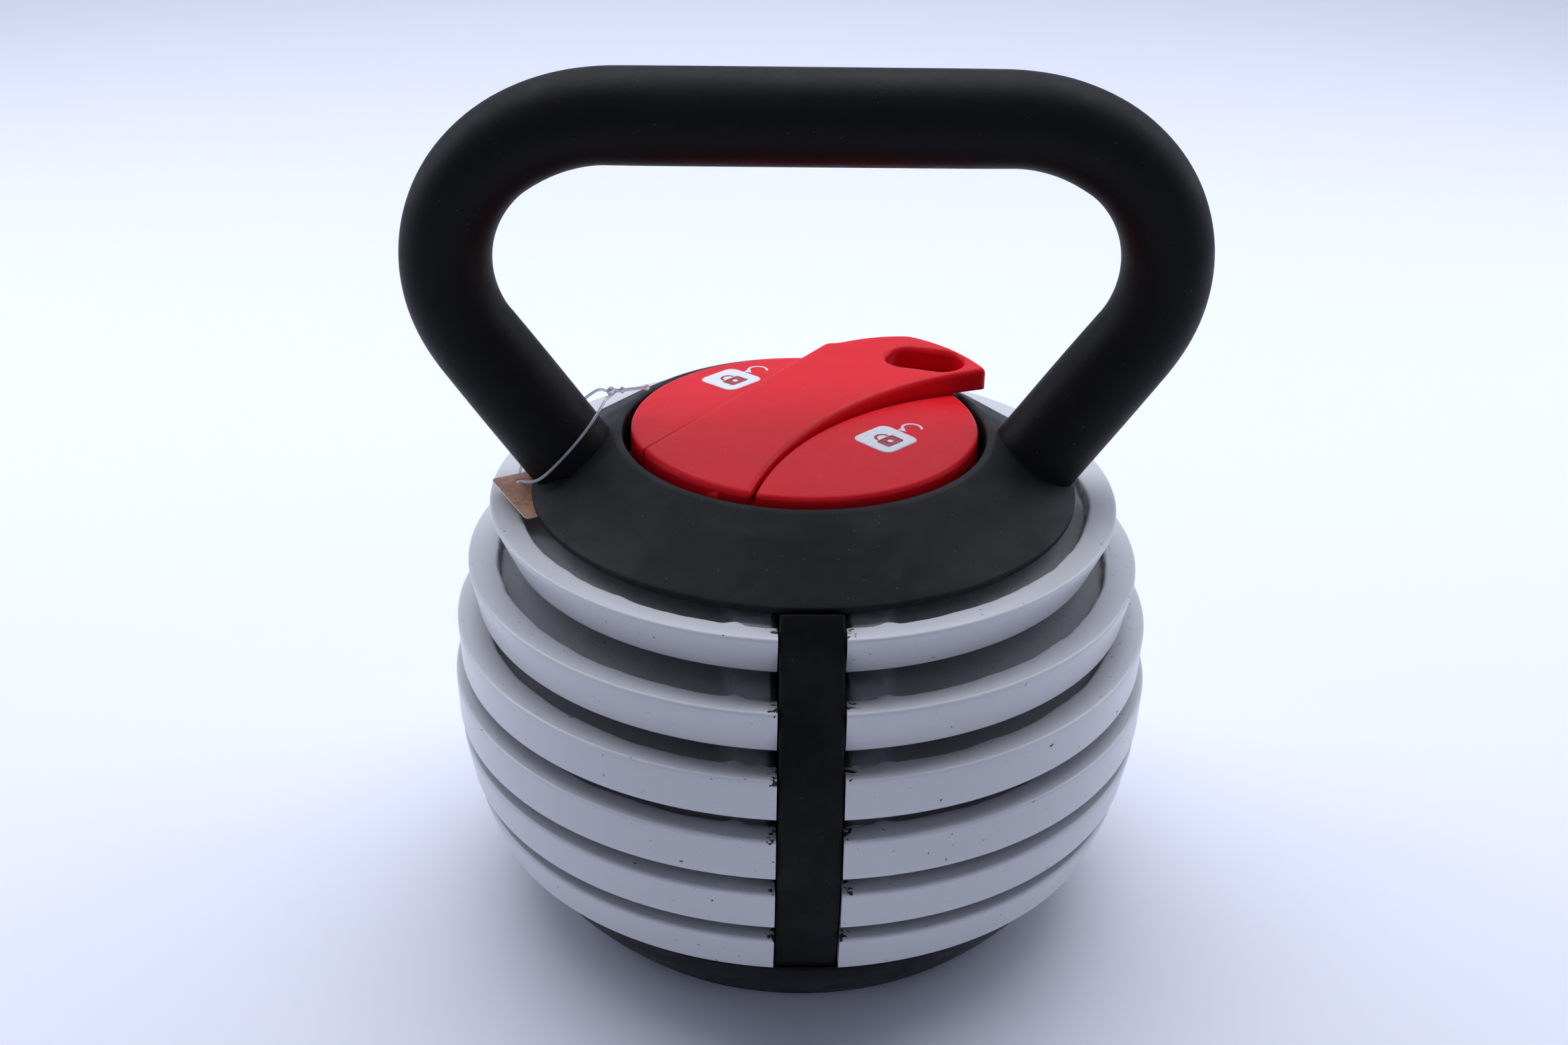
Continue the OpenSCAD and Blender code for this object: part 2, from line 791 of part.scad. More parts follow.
module tag_loop() {
    color([0.9, 0.92, 0.95]) cord_tube(curve(loop_route, 3), loop_d / 2, 8);
}

module tag_lock() {
    color([0.9, 0.92, 0.95]) {
        translate(lock_bulb) sphere(r = 1.4, $fn = 32);
        translate(lock_bulb) rotate([0, 83, 0]) {
            cylinder(r = 0.6, h = 11);
            translate([0, 0, 3]) cylinder(r = 1.1, h = 0.8);
            translate([0, 0, 11]) sphere(r = 0.95, $fn = 32);
        }
    }
}

base_casting();
base_cover();
foot_ring();
base_screws();
center_post();
post_bolt();
spine_fin();
spine_cover();
spine_rivets();
plate(1);  // plate_1
plate(2);  // plate_2
plate(3);  // plate_3
plate(4);  // plate_4
plate(5);  // plate_5
plate(6);  // plate_6
handle_tube();
top_plate();
weld_beads();
collar();
collar_screws();
clamp_pad();
guide_fork();
hub_bush();
thrust_washer();
knob_body();
clamp_nut();
nut_screws();
retaining_ring();
label_front();
label_rear();
lever_pin();
lever_spring();
lever();
tag_card();
tag_loop();
tag_lock();
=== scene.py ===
import math

import bmesh
import bpy
import numpy as np
from mathutils import Matrix, Vector, noise
from mathutils.geometry import delaunay_2d_cdt


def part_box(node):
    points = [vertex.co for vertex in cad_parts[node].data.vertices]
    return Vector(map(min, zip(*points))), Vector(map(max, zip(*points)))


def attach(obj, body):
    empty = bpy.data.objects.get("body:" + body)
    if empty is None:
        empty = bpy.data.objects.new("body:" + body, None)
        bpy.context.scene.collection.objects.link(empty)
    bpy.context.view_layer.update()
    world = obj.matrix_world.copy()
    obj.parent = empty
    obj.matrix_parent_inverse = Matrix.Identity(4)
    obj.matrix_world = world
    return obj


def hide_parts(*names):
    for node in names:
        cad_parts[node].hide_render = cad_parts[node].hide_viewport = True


# An adjustable kettlebell on a pale floor. Lengths are in millimetres until a mesh is made.

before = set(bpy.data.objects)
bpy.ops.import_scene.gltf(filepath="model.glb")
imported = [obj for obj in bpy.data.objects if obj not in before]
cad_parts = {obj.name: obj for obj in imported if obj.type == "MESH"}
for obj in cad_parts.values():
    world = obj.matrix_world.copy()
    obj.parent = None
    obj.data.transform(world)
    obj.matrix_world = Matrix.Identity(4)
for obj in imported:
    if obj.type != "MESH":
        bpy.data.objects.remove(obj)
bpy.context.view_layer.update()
MM = 0.001


def box_mm(node):
    low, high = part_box(node)
    return low / MM, high / MM


# ---- Camera ----

CAMERA_DISTANCE = 662.0
CAMERA_ELEVATION = 26.6
CAMERA_ROLL = 0.978
CAMERA_AZIMUTH = -1.572
AIM = Vector((-5.79, 0.0, 124.55))
LENS = 48.27
SENSOR = 36.0


def make_camera():
    elevation, roll = math.radians(CAMERA_ELEVATION), math.radians(CAMERA_ROLL)
    back = Vector((0, -math.cos(elevation), math.sin(elevation)))
    right, up = Vector((1, 0, 0)), Vector((0, math.sin(elevation), math.cos(elevation)))
    across = right * math.cos(roll) + up * math.sin(roll)
    upward = up * math.cos(roll) - right * math.sin(roll)
    turn = Matrix.Rotation(math.radians(CAMERA_AZIMUTH), 4, "Z")
    place = Matrix((across, upward, back)).transposed().to_4x4()
    place.translation = (AIM + back * CAMERA_DISTANCE) * MM
    data = bpy.data.cameras.new("camera")
    data.lens, data.sensor_width, data.sensor_fit = LENS, SENSOR, "HORIZONTAL"
    data.clip_start, data.clip_end = 0.01, 50
    camera = bpy.data.objects.new("camera", data)
    bpy.context.scene.collection.objects.link(camera)
    camera.matrix_world = turn @ place
    bpy.context.scene.camera = camera


make_camera()
bpy.context.scene.view_settings.view_transform = "Standard"

# ---- Node materials ----


class Nodes:
    """Short hands for building one material's node tree."""

    def __init__(self, name):
        self.material = bpy.data.materials.new(name)
        self.material.use_nodes = True
        self.tree = self.material.node_tree
        self.shader = self.tree.nodes["Principled BSDF"]
        self.place = self.add("ShaderNodeTexCoord").outputs["Object"]

    def add(self, kind, inputs=(), **settings):
        node = self.tree.nodes.new(kind)
        for key, value in settings.items():
            setattr(node, key, value)
        for key, value in dict(inputs).items():
            self.feed(node.inputs[key], value)
        return node

    def feed(self, socket, value):
        if isinstance(value, bpy.types.NodeSocket):
            self.tree.links.new(value, socket)
        else:
            socket.default_value = value

    def math(self, operation, a, b=0.0, clamp=False):
        return self.add("ShaderNodeMath", {0: a, 1: b}, operation=operation, use_clamp=clamp).outputs[0]

    def noise(self, size_mm, detail=3.0, rough=0.55, vector=None, distortion=0.0):
        scale = 1 / (size_mm * MM)
        inputs = {"Vector": vector or self.place, "Scale": scale, "Detail": detail, "Roughness": rough,
                  "Distortion": distortion}
        return self.add("ShaderNodeTexNoise", inputs).outputs["Fac"]

    def cells(self, size_mm, feature="F1", randomness=1.0, output="Distance", vector=None):
        inputs = {"Vector": vector or self.place, "Scale": 1 / (size_mm * MM), "Randomness": randomness}
        return self.add("ShaderNodeTexVoronoi", inputs, feature=feature).outputs[output]

    def steps(self, value, low, high, out_low=0.0, out_high=1.0):
        inputs = {"Value": value, "From Min": low, "From Max": high, "To Min": out_low, "To Max": out_high}
        return self.add("ShaderNodeMapRange", inputs, interpolation_type="SMOOTHSTEP").outputs["Result"]

    def mix(self, share, a, b):
        node = self.add("ShaderNodeMix", data_type="RGBA")
        self.feed(node.inputs["Factor"], share)
        self.feed(node.inputs["A"], a)
        self.feed(node.inputs["B"], b)
        return node.outputs["Result"]

    def split(self, vector=None):
        return self.add("ShaderNodeSeparateXYZ", {0: vector or self.place}).outputs

    def stretched(self, x, y, z):
        return self.add("ShaderNodeMapping", {"Vector": self.place, "Scale": (x, y, z)}).outputs["Vector"]

    def bump(self, height, depth_mm, strength=1.0, below=None):
        inputs = {"Height": height, "Distance": depth_mm * MM, "Strength": strength}
        if below is not None:
            inputs["Normal"] = below
        return self.add("ShaderNodeBump", inputs).outputs["Normal"]

    def facing(self):
        """1 where a surface faces up, -1 where it faces down."""
        return self.split(self.add("ShaderNodeNewGeometry").outputs["Normal"])[2]

    def specks(self, cell_mm, size, share):
        """Small round dust grains: one in some of the cells, of a size relative to the cell."""
        inputs = {"Vector": self.place, "Scale": 1 / (cell_mm * MM), "Randomness": 1.0}
        node = self.add("ShaderNodeTexVoronoi", inputs)
        dot = self.steps(node.outputs["Distance"], size * 0.6, size, 1.0, 0.0)
        chosen = self.steps(self.split(node.outputs["Color"])[0], share, share + 0.01, 1.0, 0.0)
        return self.math("MULTIPLY", dot, chosen)

    def surface(self, **sockets):
        names = {"color": "Base Color", "rough": "Roughness", "metal": "Metallic", "normal": "Normal",
                 "specular": "Specular IOR Level", "coat": "Coat Weight", "coat_rough": "Coat Roughness",
                 "transmission": "Transmission Weight", "ior": "IOR", "alpha": "Alpha",
                 "subsurface": "Subsurface Weight", "subsurface_scale": "Subsurface Scale"}
        for key, value in sockets.items():
            self.feed(self.shader.inputs[names[key]], value)
        return self.material


def grey(value, blue=1.0):
    return (value, value, value * blue, 1.0)


def powder_coat():
    n = Nodes("black_powder_coat")
    pebble = n.noise(0.75, detail=2.0)
    swell = n.noise(9, detail=2.0)
    dust = n.specks(2.6, 0.09, 0.3)
    film = n.math("MULTIPLY", n.steps(n.noise(35, detail=4.0), 0.45, 0.75), 0.25)
    color = n.mix(film, grey(0.0035, 1.05), grey(0.009, 1.1))
    color = n.mix(n.math("MULTIPLY", dust, 0.35), color, grey(0.12))
    rough = n.math("ADD", n.steps(swell, 0.3, 0.7, 0.5, 0.56), n.math("MULTIPLY", film, 0.2))
    normal = n.bump(swell, 0.25, 0.4)
    normal = n.bump(pebble, 0.12, 0.55, normal)
    return n.surface(color=color, rough=rough, normal=normal, specular=0.13)


def collar_plastic():
    n = Nodes("collar_plastic")
    x, y, z = n.split()
    smudge = n.steps(n.noise(26, detail=5.0, rough=0.6, distortion=0.6), 0.42, 0.68)
    patch = n.steps(n.noise(60, detail=2.0), 0.4, 0.7)
    scratch_wave = n.noise(3.0, detail=6.0, rough=0.7, vector=n.stretched(0.25, 3.0, 1.0))
    scratch = n.steps(scratch_wave, 0.69, 0.73, 0.0, 0.5)
    dust = n.math("ADD", n.specks(2.4, 0.1, 0.25), n.specks(4.5, 0.055, 0.5))
    color = n.mix(smudge, grey(0.007, 1.08), grey(0.016, 1.08))
    color = n.mix(n.math("MULTIPLY", patch, 0.3), color, grey(0.024, 1.06))
    color = n.mix(n.math("MULTIPLY", scratch, 0.35), color, grey(0.07))
    color = n.mix(n.math("MULTIPLY", dust, 0.5), color, (0.16, 0.15, 0.13, 1))
    rough = n.steps(n.noise(14, detail=5.0), 0.3, 0.7, 0.44, 0.6)
    normal = n.bump(n.noise(0.35, detail=2.0), 0.02, 0.5)
    normal = n.bump(n.noise(22, detail=2.0), 0.4, 0.35, normal)
    normal = n.bump(scratch, 0.05, 0.3, normal)
    return n.surface(color=color, rough=rough, normal=normal, specular=0.16)


def red_plastic():
    n = Nodes("red_plastic")
    up = n.steps(n.facing(), 0.75, 0.98)
    cloud = n.steps(n.noise(24, detail=5.0, rough=0.6, distortion=0.5), 0.4, 0.72)
    film = n.math("MULTIPLY", up, n.math("MULTIPLY", cloud, 0.16))
    dust = n.math("MULTIPLY", up, n.math("ADD", n.specks(1.7, 0.1, 0.3), n.specks(3.6, 0.07, 0.4)))
    color = n.mix(n.noise(40, detail=1.0), (0.72, 0.004, 0.012, 1), (0.66, 0.003, 0.01, 1))
    color = n.mix(film, color, (0.38, 0.05, 0.06, 1))
    color = n.mix(n.math("MULTIPLY", dust, 0.5), color, (0.55, 0.33, 0.3, 1))
    rough = n.math("ADD", n.steps(n.noise(9, detail=4.0), 0.3, 0.7, 0.34, 0.42), n.math("MULTIPLY", film, 0.6))
    normal = n.bump(n.noise(0.5, detail=2.0), 0.012, 0.35)
    normal = n.bump(n.noise(15, detail=1.0), 0.25, 0.3, normal)
    return n.surface(color=color, rough=rough, normal=normal, specular=0.16)


def grey_enamel(name, edge_z, crest_r, slot_half):
    """Glossy enamel on cast iron: rough in the sunk web, whose colour is darkened there as painted shade, chipped at
    the slot's corners.
    """
    n = Nodes(name)
    x, y, z = n.split()
    radius = n.math("POWER", n.math("ADD", n.math("MULTIPLY", x, x), n.math("MULTIPLY", y, y)), 0.5)
    # Mask of the sunk web: it sets the web's roughness and grain, and the painted shade on its colour.
    sunk = n.steps(z, (edge_z - 3.4) * MM, (edge_z - 1.9) * MM, 1.0, 0.0)
    inside = n.steps(radius, (crest_r - 11.5) * MM, (crest_r - 9.6) * MM, 1.0, 0.0)
    web = n.math("MULTIPLY", sunk, inside)
    wobble = n.math("MULTIPLY", n.math("SUBTRACT", n.noise(5, detail=3.0), 0.5), 2.2 * MM)
    seam_r = n.math("ADD", radius, wobble)
    seam = n.math("MULTIPLY", n.steps(seam_r, (crest_r - 10.9) * MM, (crest_r - 10.2) * MM),
                  n.steps(seam_r, (crest_r - 9.9) * MM, (crest_r - 9.4) * MM, 1.0, 0.0))
    top_only = n.steps(z, (edge_z - 5.5) * MM, (edge_z - 4.5) * MM)
    seam = n.math("MULTIPLY", seam, top_only)
    corner = n.steps(n.math("ABSOLUTE", x), (slot_half + 0.6) * MM, (slot_half + 5) * MM, 1.0, 0.0)
    front = n.steps(y, -40 * MM, -30 * MM, 1.0, 0.0)
    crest = n.steps(n.math("ABSOLUTE", n.math("SUBTRACT", z, edge_z * MM)), 0.6 * MM, 2.2 * MM, 1.0, 0.0)
    near = n.math("MULTIPLY", n.math("MULTIPLY", corner, front), n.math("ADD", n.math("MULTIPLY", crest, 0.8), 0.15))
    chip = n.steps(n.math("ADD", n.noise(2.2, detail=4.0), n.math("MULTIPLY", near, 0.2)), 0.70, 0.74)
    far_chip = n.steps(n.noise(4.5, detail=5.0, rough=0.65), 0.745, 0.76)
    chip = n.math("MAXIMUM", chip, n.math("MULTIPLY", far_chip, crest))
    dust = n.specks(3.4, 0.07, 0.2)
    color = n.mix(n.noise(50, detail=2.0), grey(0.58, 1.04), grey(0.62, 1.04))
    # Painted shade: the sunk web's colour is darkened towards a mid grey because it lies in the recess.
    color = n.mix(n.math("MULTIPLY", web, 0.75), color, (0.25, 0.255, 0.255, 1))
    color = n.mix(n.math("MULTIPLY", seam, 0.7), color, (0.05, 0.045, 0.04, 1))
    color = n.mix(n.math("MULTIPLY", dust, 0.5), color, (0.1, 0.09, 0.08, 1))
    rust = n.mix(n.noise(1.2), (0.05, 0.022, 0.012, 1), (0.012, 0.01, 0.01, 1))
    color = n.mix(chip, color, rust)
    rough = n.math("ADD", 0.28, n.math("MULTIPLY", web, 0.4))
    rough = n.math("ADD", rough, n.math("MULTIPLY", chip, 0.5), clamp=True)
    grain = n.math("MULTIPLY", n.noise(0.8, detail=4.0, rough=0.7), n.math("ADD", n.math("MULTIPLY", web, 1.0), 0.03))
    normal = n.bump(n.noise(18, detail=0.0), 0.12, 0.35)
    normal = n.bump(grain, 0.35, 0.8, normal)
    normal = n.bump(n.math("MULTIPLY", chip, -1.0), 0.2, 0.7, normal)
    return n.surface(color=color, rough=rough, normal=normal)


def satin_black(name, rough_low=0.28, tone=0.008, grain_mm=0.6, grain_depth=0.03):
    n = Nodes(name)
    smudge = n.steps(n.noise(18, detail=5.0, rough=0.6), 0.4, 0.7)
    dust = n.specks(2.8, 0.08, 0.25)
    color = n.mix(smudge, grey(tone, 1.06), grey(tone * 2, 1.05))
    color = n.mix(n.math("MULTIPLY", dust, 0.4), color, grey(0.16, 0.9))
    rough = n.math("ADD", n.steps(n.noise(12, detail=4.0), 0.3, 0.7, 0.0, 0.12), rough_low)
    normal = n.bump(n.noise(grain_mm, detail=3.0), grain_depth, 0.5)
    normal = n.bump(n.noise(16, detail=2.0), 0.3, 0.25, normal)
    return n.surface(color=color, rough=rough, normal=normal, specular=0.07)


def turned_metal(name, color_a, color_b, rough_low):
    """Turned metal with rings of fine tool marks about the upright axis."""
    n = Nodes(name)
    x, y, z = n.split()
    radius = n.math("POWER", n.math("ADD", n.math("MULTIPLY", x, x), n.math("MULTIPLY", y, y)), 0.5)
    line = n.add("ShaderNodeCombineXYZ", {0: radius, 1: z, 2: 0.0}).outputs[0]
    marks = n.noise(0.25, detail=3.0, vector=line)
    color = n.mix(n.noise(8, detail=4.0), color_a, color_b)
    rough = n.math("ADD", n.steps(marks, 0.3, 0.7, 0.0, 0.15), rough_low)
    return n.surface(color=color, rough=rough, metal=1.0, normal=n.bump(marks, 0.01, 0.5))


def rubber():
    n = Nodes("rubber")
    color = n.mix(n.noise(6, detail=4.0), grey(0.01), grey(0.022))
    return n.surface(color=color, rough=n.steps(n.noise(4), 0.3, 0.7, 0.7, 0.85), normal=n.bump(n.noise(0.6), 0.08))


def acetal():
    n = Nodes("acetal")
    color = n.mix(n.noise(10, detail=3.0), (0.72, 0.70, 0.64, 1), (0.66, 0.64, 0.58, 1))
    return n.surface(color=color, rough=n.steps(n.noise(5), 0.3, 0.7, 0.3, 0.42), normal=n.bump(n.noise(1.0), 0.02))


def label_white():
    n = Nodes("label_white")
    wear = n.steps(n.noise(1.6, detail=4.0), 0.62, 0.75)
    color = n.mix(n.math("MULTIPLY", wear, 0.5), grey(0.72, 1.05), (0.55, 0.38, 0.38, 1))
    return n.surface(color=color, rough=n.steps(n.noise(3), 0.3, 0.7, 0.35, 0.5), normal=n.bump(n.noise(0.7), 0.01))


def label_red():
    n = Nodes("label_red")
    color = n.mix(n.steps(n.noise(0.9, detail=3.0), 0.5, 0.75), (0.33, 0.012, 0.02, 1), (0.5, 0.15, 0.15, 1))
    return n.surface(color=color, rough=n.steps(n.noise(3), 0.3, 0.7, 0.35, 0.5), normal=n.bump(n.noise(0.7), 0.01))


def tag_print():
    n = Nodes("tag_print")
    x, y, z = n.split()
    fibre = n.noise(0.5, detail=5.0)
    blot = n.steps(n.noise(3.2, detail=3.0, distortion=1.0), 0.52, 0.6)
    color = n.mix(n.noise(12, detail=2.0), (0.55, 0.25, 0.15, 1), (0.62, 0.33, 0.2, 1))
    color = n.mix(n.math("MULTIPLY", blot, 0.45), color, (0.30, 0.09, 0.04, 1))
    color = n.mix(n.math("MULTIPLY", fibre, 0.15), color, (0.8, 0.7, 0.6, 1))
    return n.surface(color=color, rough=n.steps(fibre, 0.3, 0.7, 0.45, 0.6), normal=n.bump(fibre, 0.02))


def card_core():
    n = Nodes("card_core")
    fibre = n.noise(0.4, detail=5.0, vector=n.stretched(1, 1, 6))
    color = n.mix(fibre, (0.68, 0.62, 0.52, 1), (0.8, 0.76, 0.68, 1))
    return n.surface(color=color, rough=n.steps(fibre, 0.3, 0.7, 0.6, 0.75), normal=n.bump(fibre, 0.05))


def clear_nylon():
    n = Nodes("clear_nylon")
    color = n.mix(n.noise(2, detail=2.0), (0.86, 0.88, 0.92, 1), (0.78, 0.81, 0.88, 1))
    rough = n.steps(n.noise(1.2), 0.3, 0.7, 0.08, 0.22)
    return n.surface(color=color, rough=rough, transmission=0.7, ior=1.53, normal=n.bump(n.noise(1.0), 0.01))


def floor_paper():
    n = Nodes("floor_paper")
    color = n.mix(n.noise(300, detail=2.0), (0.80, 0.81, 0.90, 1), (0.82, 0.83, 0.91, 1))
    return n.surface(color=color, rough=0.6, normal=n.bump(n.noise(2.0), 0.02, 0.2))


# ---- Mesh helpers ----


def add_piece(name, verts, faces, material, body, smooth=True, materials=None, face_slots=None):
    """Makes one piece from points in millimetres and hangs it on its body."""
    mesh = bpy.data.meshes.new(name)
    mesh.from_pydata([tuple(c * MM for c in v) for v in verts], [], [tuple(int(i) for i in f) for f in faces])
    for m in materials or [material]:
        mesh.materials.append(m)
    if face_slots is not None:
        mesh.polygons.foreach_set("material_index", face_slots)
    mesh.validate()
    obj = bpy.data.objects.new(name, mesh)
    bpy.context.scene.collection.objects.link(obj)
    clean(obj)
    if smooth:
        mesh.shade_smooth()
    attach(obj, body)
    return obj


def clean(obj):
    bm = bmesh.new()
    bm.from_mesh(obj.data)
    bmesh.ops.remove_doubles(bm, verts=bm.verts, dist=0.002 * MM)
    bmesh.ops.dissolve_degenerate(bm, dist=0.001 * MM, edges=bm.edges)
    bmesh.ops.recalc_face_normals(bm, faces=bm.faces)
    bm.to_mesh(obj.data)
    bm.free()


def apply_modifiers(obj):
    graph = bpy.context.evaluated_depsgraph_get()
    mesh = bpy.data.meshes.new_from_object(obj.evaluated_get(graph))
    old = obj.data
    obj.modifiers.clear()
    obj.data = mesh
    bpy.data.meshes.remove(old)


def bevel_edges(obj, width, segments=3, angle=35):
    """Rounds what is still sharp on a mesh."""
    modifier = obj.modifiers.new("bevel", "BEVEL")
    modifier.width, modifier.segments = width * MM, segments
    modifier.limit_method, modifier.angle_limit = "ANGLE", math.radians(angle)
    modifier.harden_normals = False
    apply_modifiers(obj)
    obj.data.shade_smooth()


def arc_points(center, radius, start, end, count):
    angles = np.radians(np.linspace(start, end, count))
    return [(center[0] + radius * math.cos(a), center[1] + radius * math.sin(a)) for a in angles]


def rounded(points, radii, step, segments=5):
    """A closed outline through the points, its corners rounded and its straights cut into steps."""
    count, out = len(points), []
    for i, radius in enumerate(radii):
        here, before, after = (Vector(points[k % count]) for k in (i, i - 1, i + 1))
        to_before, to_after = (before - here).normalized(), (after - here).normalized()
        if radius <= 0:
            out.append(here)
            continue
        half = to_before.angle(to_after) / 2
        reach = min(radius / math.tan(half), 0.49 * (before - here).length, 0.49 * (after - here).length)
        if reach < 0.01:
            out.append(here)
            continue
        size = reach * math.tan(half)
        centre = here + (to_before + to_after).normalized() * (size / math.sin(half))
        first, last = here + to_before * reach, here + to_after * reach
        sweep = (first - centre).angle(last - centre)
        turn = 1 if (first - centre).cross(last - centre) > 0 else -1
        for k in range(segments + 1):
            a = turn * sweep * k / segments
            arm = first - centre
            out.append(centre + Vector((arm.x * math.cos(a) - arm.y * math.sin(a),
                                        arm.x * math.sin(a) + arm.y * math.cos(a))))
    dense = []
    for i, here in enumerate(out):
        there = out[(i + 1) % len(out)]
        pieces = max(1, int((there - here).length / step))
        dense += [here.lerp(there, k / pieces) for k in range(pieces)]
    return [(p.x, p.y) for p in dense]


def grid_faces(rows, columns, close_rows=False, close_columns=True):
    """Quads of a grid of points that is stored row by row."""
    faces = []
    for r in range(rows if close_rows else rows - 1):
        for c in range(columns if close_columns else columns - 1):
            d, e = (c + 1) % columns, (r + 1) % rows
            faces.append((r * columns + c, r * columns + d, e * columns + d, e * columns + c))
    return faces


def lathe(profile, count, start=0.0, sweep=360.0):
    """Turns a closed (radius, height) outline about the upright axis."""
    full = sweep >= 360
    angles = np.radians(start + sweep * np.arange(count) / (count if full else count - 1))
    verts = [(r * math.cos(a), r * math.sin(a), z) for a in angles for r, z in profile]
    faces = grid_faces(count, len(profile), close_rows=full)
    if not full:
        faces += [tuple(range(len(profile))), tuple(reversed(range(len(verts) - len(profile), len(verts))))]
    return verts, faces


def nearby_noise(x, y, z, size, seed=0.0):
    return noise.noise(Vector((x / size + seed, y / size - seed, z / size + 2 * seed)))


# ---- Stage ----


def make_stage():
    """A pale round sweep, flat under the object and curving up into a wall all round."""
    flat_r, curve_r, wall_top = 1500.0, 900.0, 2600.0
    profile = [(0.01, 0), (400, 0), (flat_r, 0)]
    profile += arc_points((flat_r, curve_r), curve_r, -85, 0, 24)
    profile += [(flat_r + curve_r, wall_top)]
    verts, faces = [], []
    count = 96
    for i in range(count):
        a = 2 * math.pi * i / count
        verts += [(r * math.cos(a) * MM, r * math.sin(a) * MM, z * MM) for r, z in profile]
    columns = len(profile)
    faces = grid_faces(count, columns, close_rows=True, close_columns=False)
    mesh = bpy.data.meshes.new("sweep")
    mesh.from_pydata(verts, [], faces)
    mesh.materials.append(floor_paper())
    mesh.shade_smooth()
    sweep = bpy.data.objects.new("sweep", mesh)
    bpy.context.scene.collection.objects.link(sweep)


def area_light(name, place, aim, size, power, color=(1, 1, 1)):
    data = bpy.data.lights.new(name, "AREA")
    data.shape, data.size, data.size_y = "RECTANGLE", size[0], size[1]
    data.energy, data.color = power, color
    light = bpy.data.objects.new(name, data)
    bpy.context.scene.collection.objects.link(light)
    light.location = Vector(place)
    light.rotation_mode = "QUATERNION"
    light.rotation_quaternion = (Vector(aim) - Vector(place)).to_track_quat("-Z", "Y")


def make_lights():
    """A big soft light above and behind, two narrow ones at the sides and a weak fill in front."""
    centre = (0, 0, 0.12)
    area_light("overhead", (0, 0.42, 1.3), centre, (1.7, 1.1), 16.5, (0.90, 0.93, 1.0))
    area_light("backdrop_wash", (0, 1.3, 2.0), (0, 2.4, 0.5), (2.2, 0.8), 14, (0.87, 0.91, 1.0))
    area_light("left_soft", (-1.0, 0.45, 0.75), centre, (0.5, 1.0), 4.6, (0.84, 0.90, 1.0))
    area_light("right_soft", (1.0, 0.45, 0.75), centre, (0.5, 1.0), 4.2, (0.84, 0.90, 1.0))
    area_light("front_fill", (0.1, -0.9, 1.1), centre, (0.9, 0.35), 0.55, (0.90, 0.93, 1.0))
    world = bpy.data.worlds.new("world")
    world.use_nodes = True
    world.node_tree.nodes["Background"].inputs["Color"].default_value = (0.80, 0.86, 1.0, 1)
    world.node_tree.nodes["Background"].inputs["Strength"].default_value = 0.065
    bpy.context.scene.world = world


make_stage()
make_lights()

# ---- Hang tag's filament ----

# The route in millimetres, as in the CAD model: from the lock through the card and back
LOOP_ROUTE = [
    (-59.4, 3.2, 166.4), (-61, 0, 166), (-63, -4.5, 164), (-65.5, -9.5, 161.5), (-70, -14, 157),
    (-75.5, -15.8, 151.3), (-80.5, -14.8, 146.3), (-85, -10, 143), (-87.3, -5, 141), (-88, -2, 139.4),
    (-88.4, 2, 139.3), (-87.6, 7.5, 142), (-83, 14, 146.5), (-76.5, 17, 152), (-69.5, 15.5, 159),
    (-64, 10.5, 165), (-60.4, 5, 167),
]
LOOP_DIAMETER = 0.9


def smooth_route(points, steps):
    """A smooth curve through the points, with the same rule as the CAD model's."""
    p, out = [Vector(q) for q in points], []
    for i in range(len(p) - 1):
        a, b, c, d = p[max(i - 1, 0)], p[i], p[i + 1], p[min(i + 2, len(p) - 1)]
        for k in range(steps):
            t = k / steps
            out.append(0.5 * (2 * b + (c - a) * t + (2 * a - 5 * b + 4 * c - d) * t * t
                              + (3 * b - a - 3 * c + d) * t ** 3))
    return out + [p[-1]]


def tube_mesh(path, radius, sides, squeeze=None):
    """Points and quads of a tube along a path; squeeze(i) gives the two half widths of a ring."""
    verts, side = [], None
    for i, here in enumerate(path):
        heading = (path[min(i + 1, len(path) - 1)] - path[max(i - 1, 0)]).normalized()
        side = heading.cross(Vector((0, 0, 1))) if side is None else side - heading * side.dot(heading)
        side = side.normalized()
        up = heading.cross(side)
        wide, high = squeeze(i) if squeeze else (radius, radius)
        for k in range(sides):
            a = 2 * math.pi * k / sides
            verts.append(here + side * wide * math.cos(a) + up * high * math.sin(a))
    faces = grid_faces(len(path), sides)
    faces += [tuple(reversed(range(sides))), tuple(range(len(verts) - sides, len(verts)))]
    return verts, faces


def make_filament():
    path = smooth_route(LOOP_ROUTE, 8)
    nylon = clear_nylon()
    verts, faces = tube_mesh(path, LOOP_DIAMETER / 2, 16)
    loop = add_piece("tag_filament", verts, faces, nylon, "head")
    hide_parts("tag_loop")
    lock = make_tag_lock(nylon)
    card = make_tag_card()


LOCK_BULB = Vector((-59.4, 4, 167.4))
LOCK_TILT = 83


def make_tag_lock(nylon):
    """A snap lock: bulb, neck, small collar, tail and end ball, turned about its own line."""
    outline = [(0.01, -1.4)] + arc_points((0, 0), 1.4, -80, 62, 14)
    outline += [(0.6, 1.7), (0.55, 2.7), (0.8, 3.0), (1.1, 3.2), (1.1, 3.6), (0.7, 3.9), (0.5, 4.3), (0.48, 9.6),
                (0.6, 10.2)]
    outline += arc_points((0, 11), 0.95, -45, 85, 12) + [(0.01, 11.95)]
    place = Matrix.Translation(LOCK_BULB) @ Matrix.Rotation(math.radians(LOCK_TILT), 4, "Y")
    count, verts = 32, []
    for i in range(count):
        a = 2 * math.pi * i / count
        verts += [place @ Vector((r * math.cos(a), r * math.sin(a), z)) for r, z in outline]
    faces = grid_faces(count, len(outline), close_rows=True, close_columns=False)
    lock = add_piece("tag_snap_lock", verts, faces, nylon, "head")
    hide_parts("tag_lock")
    return lock


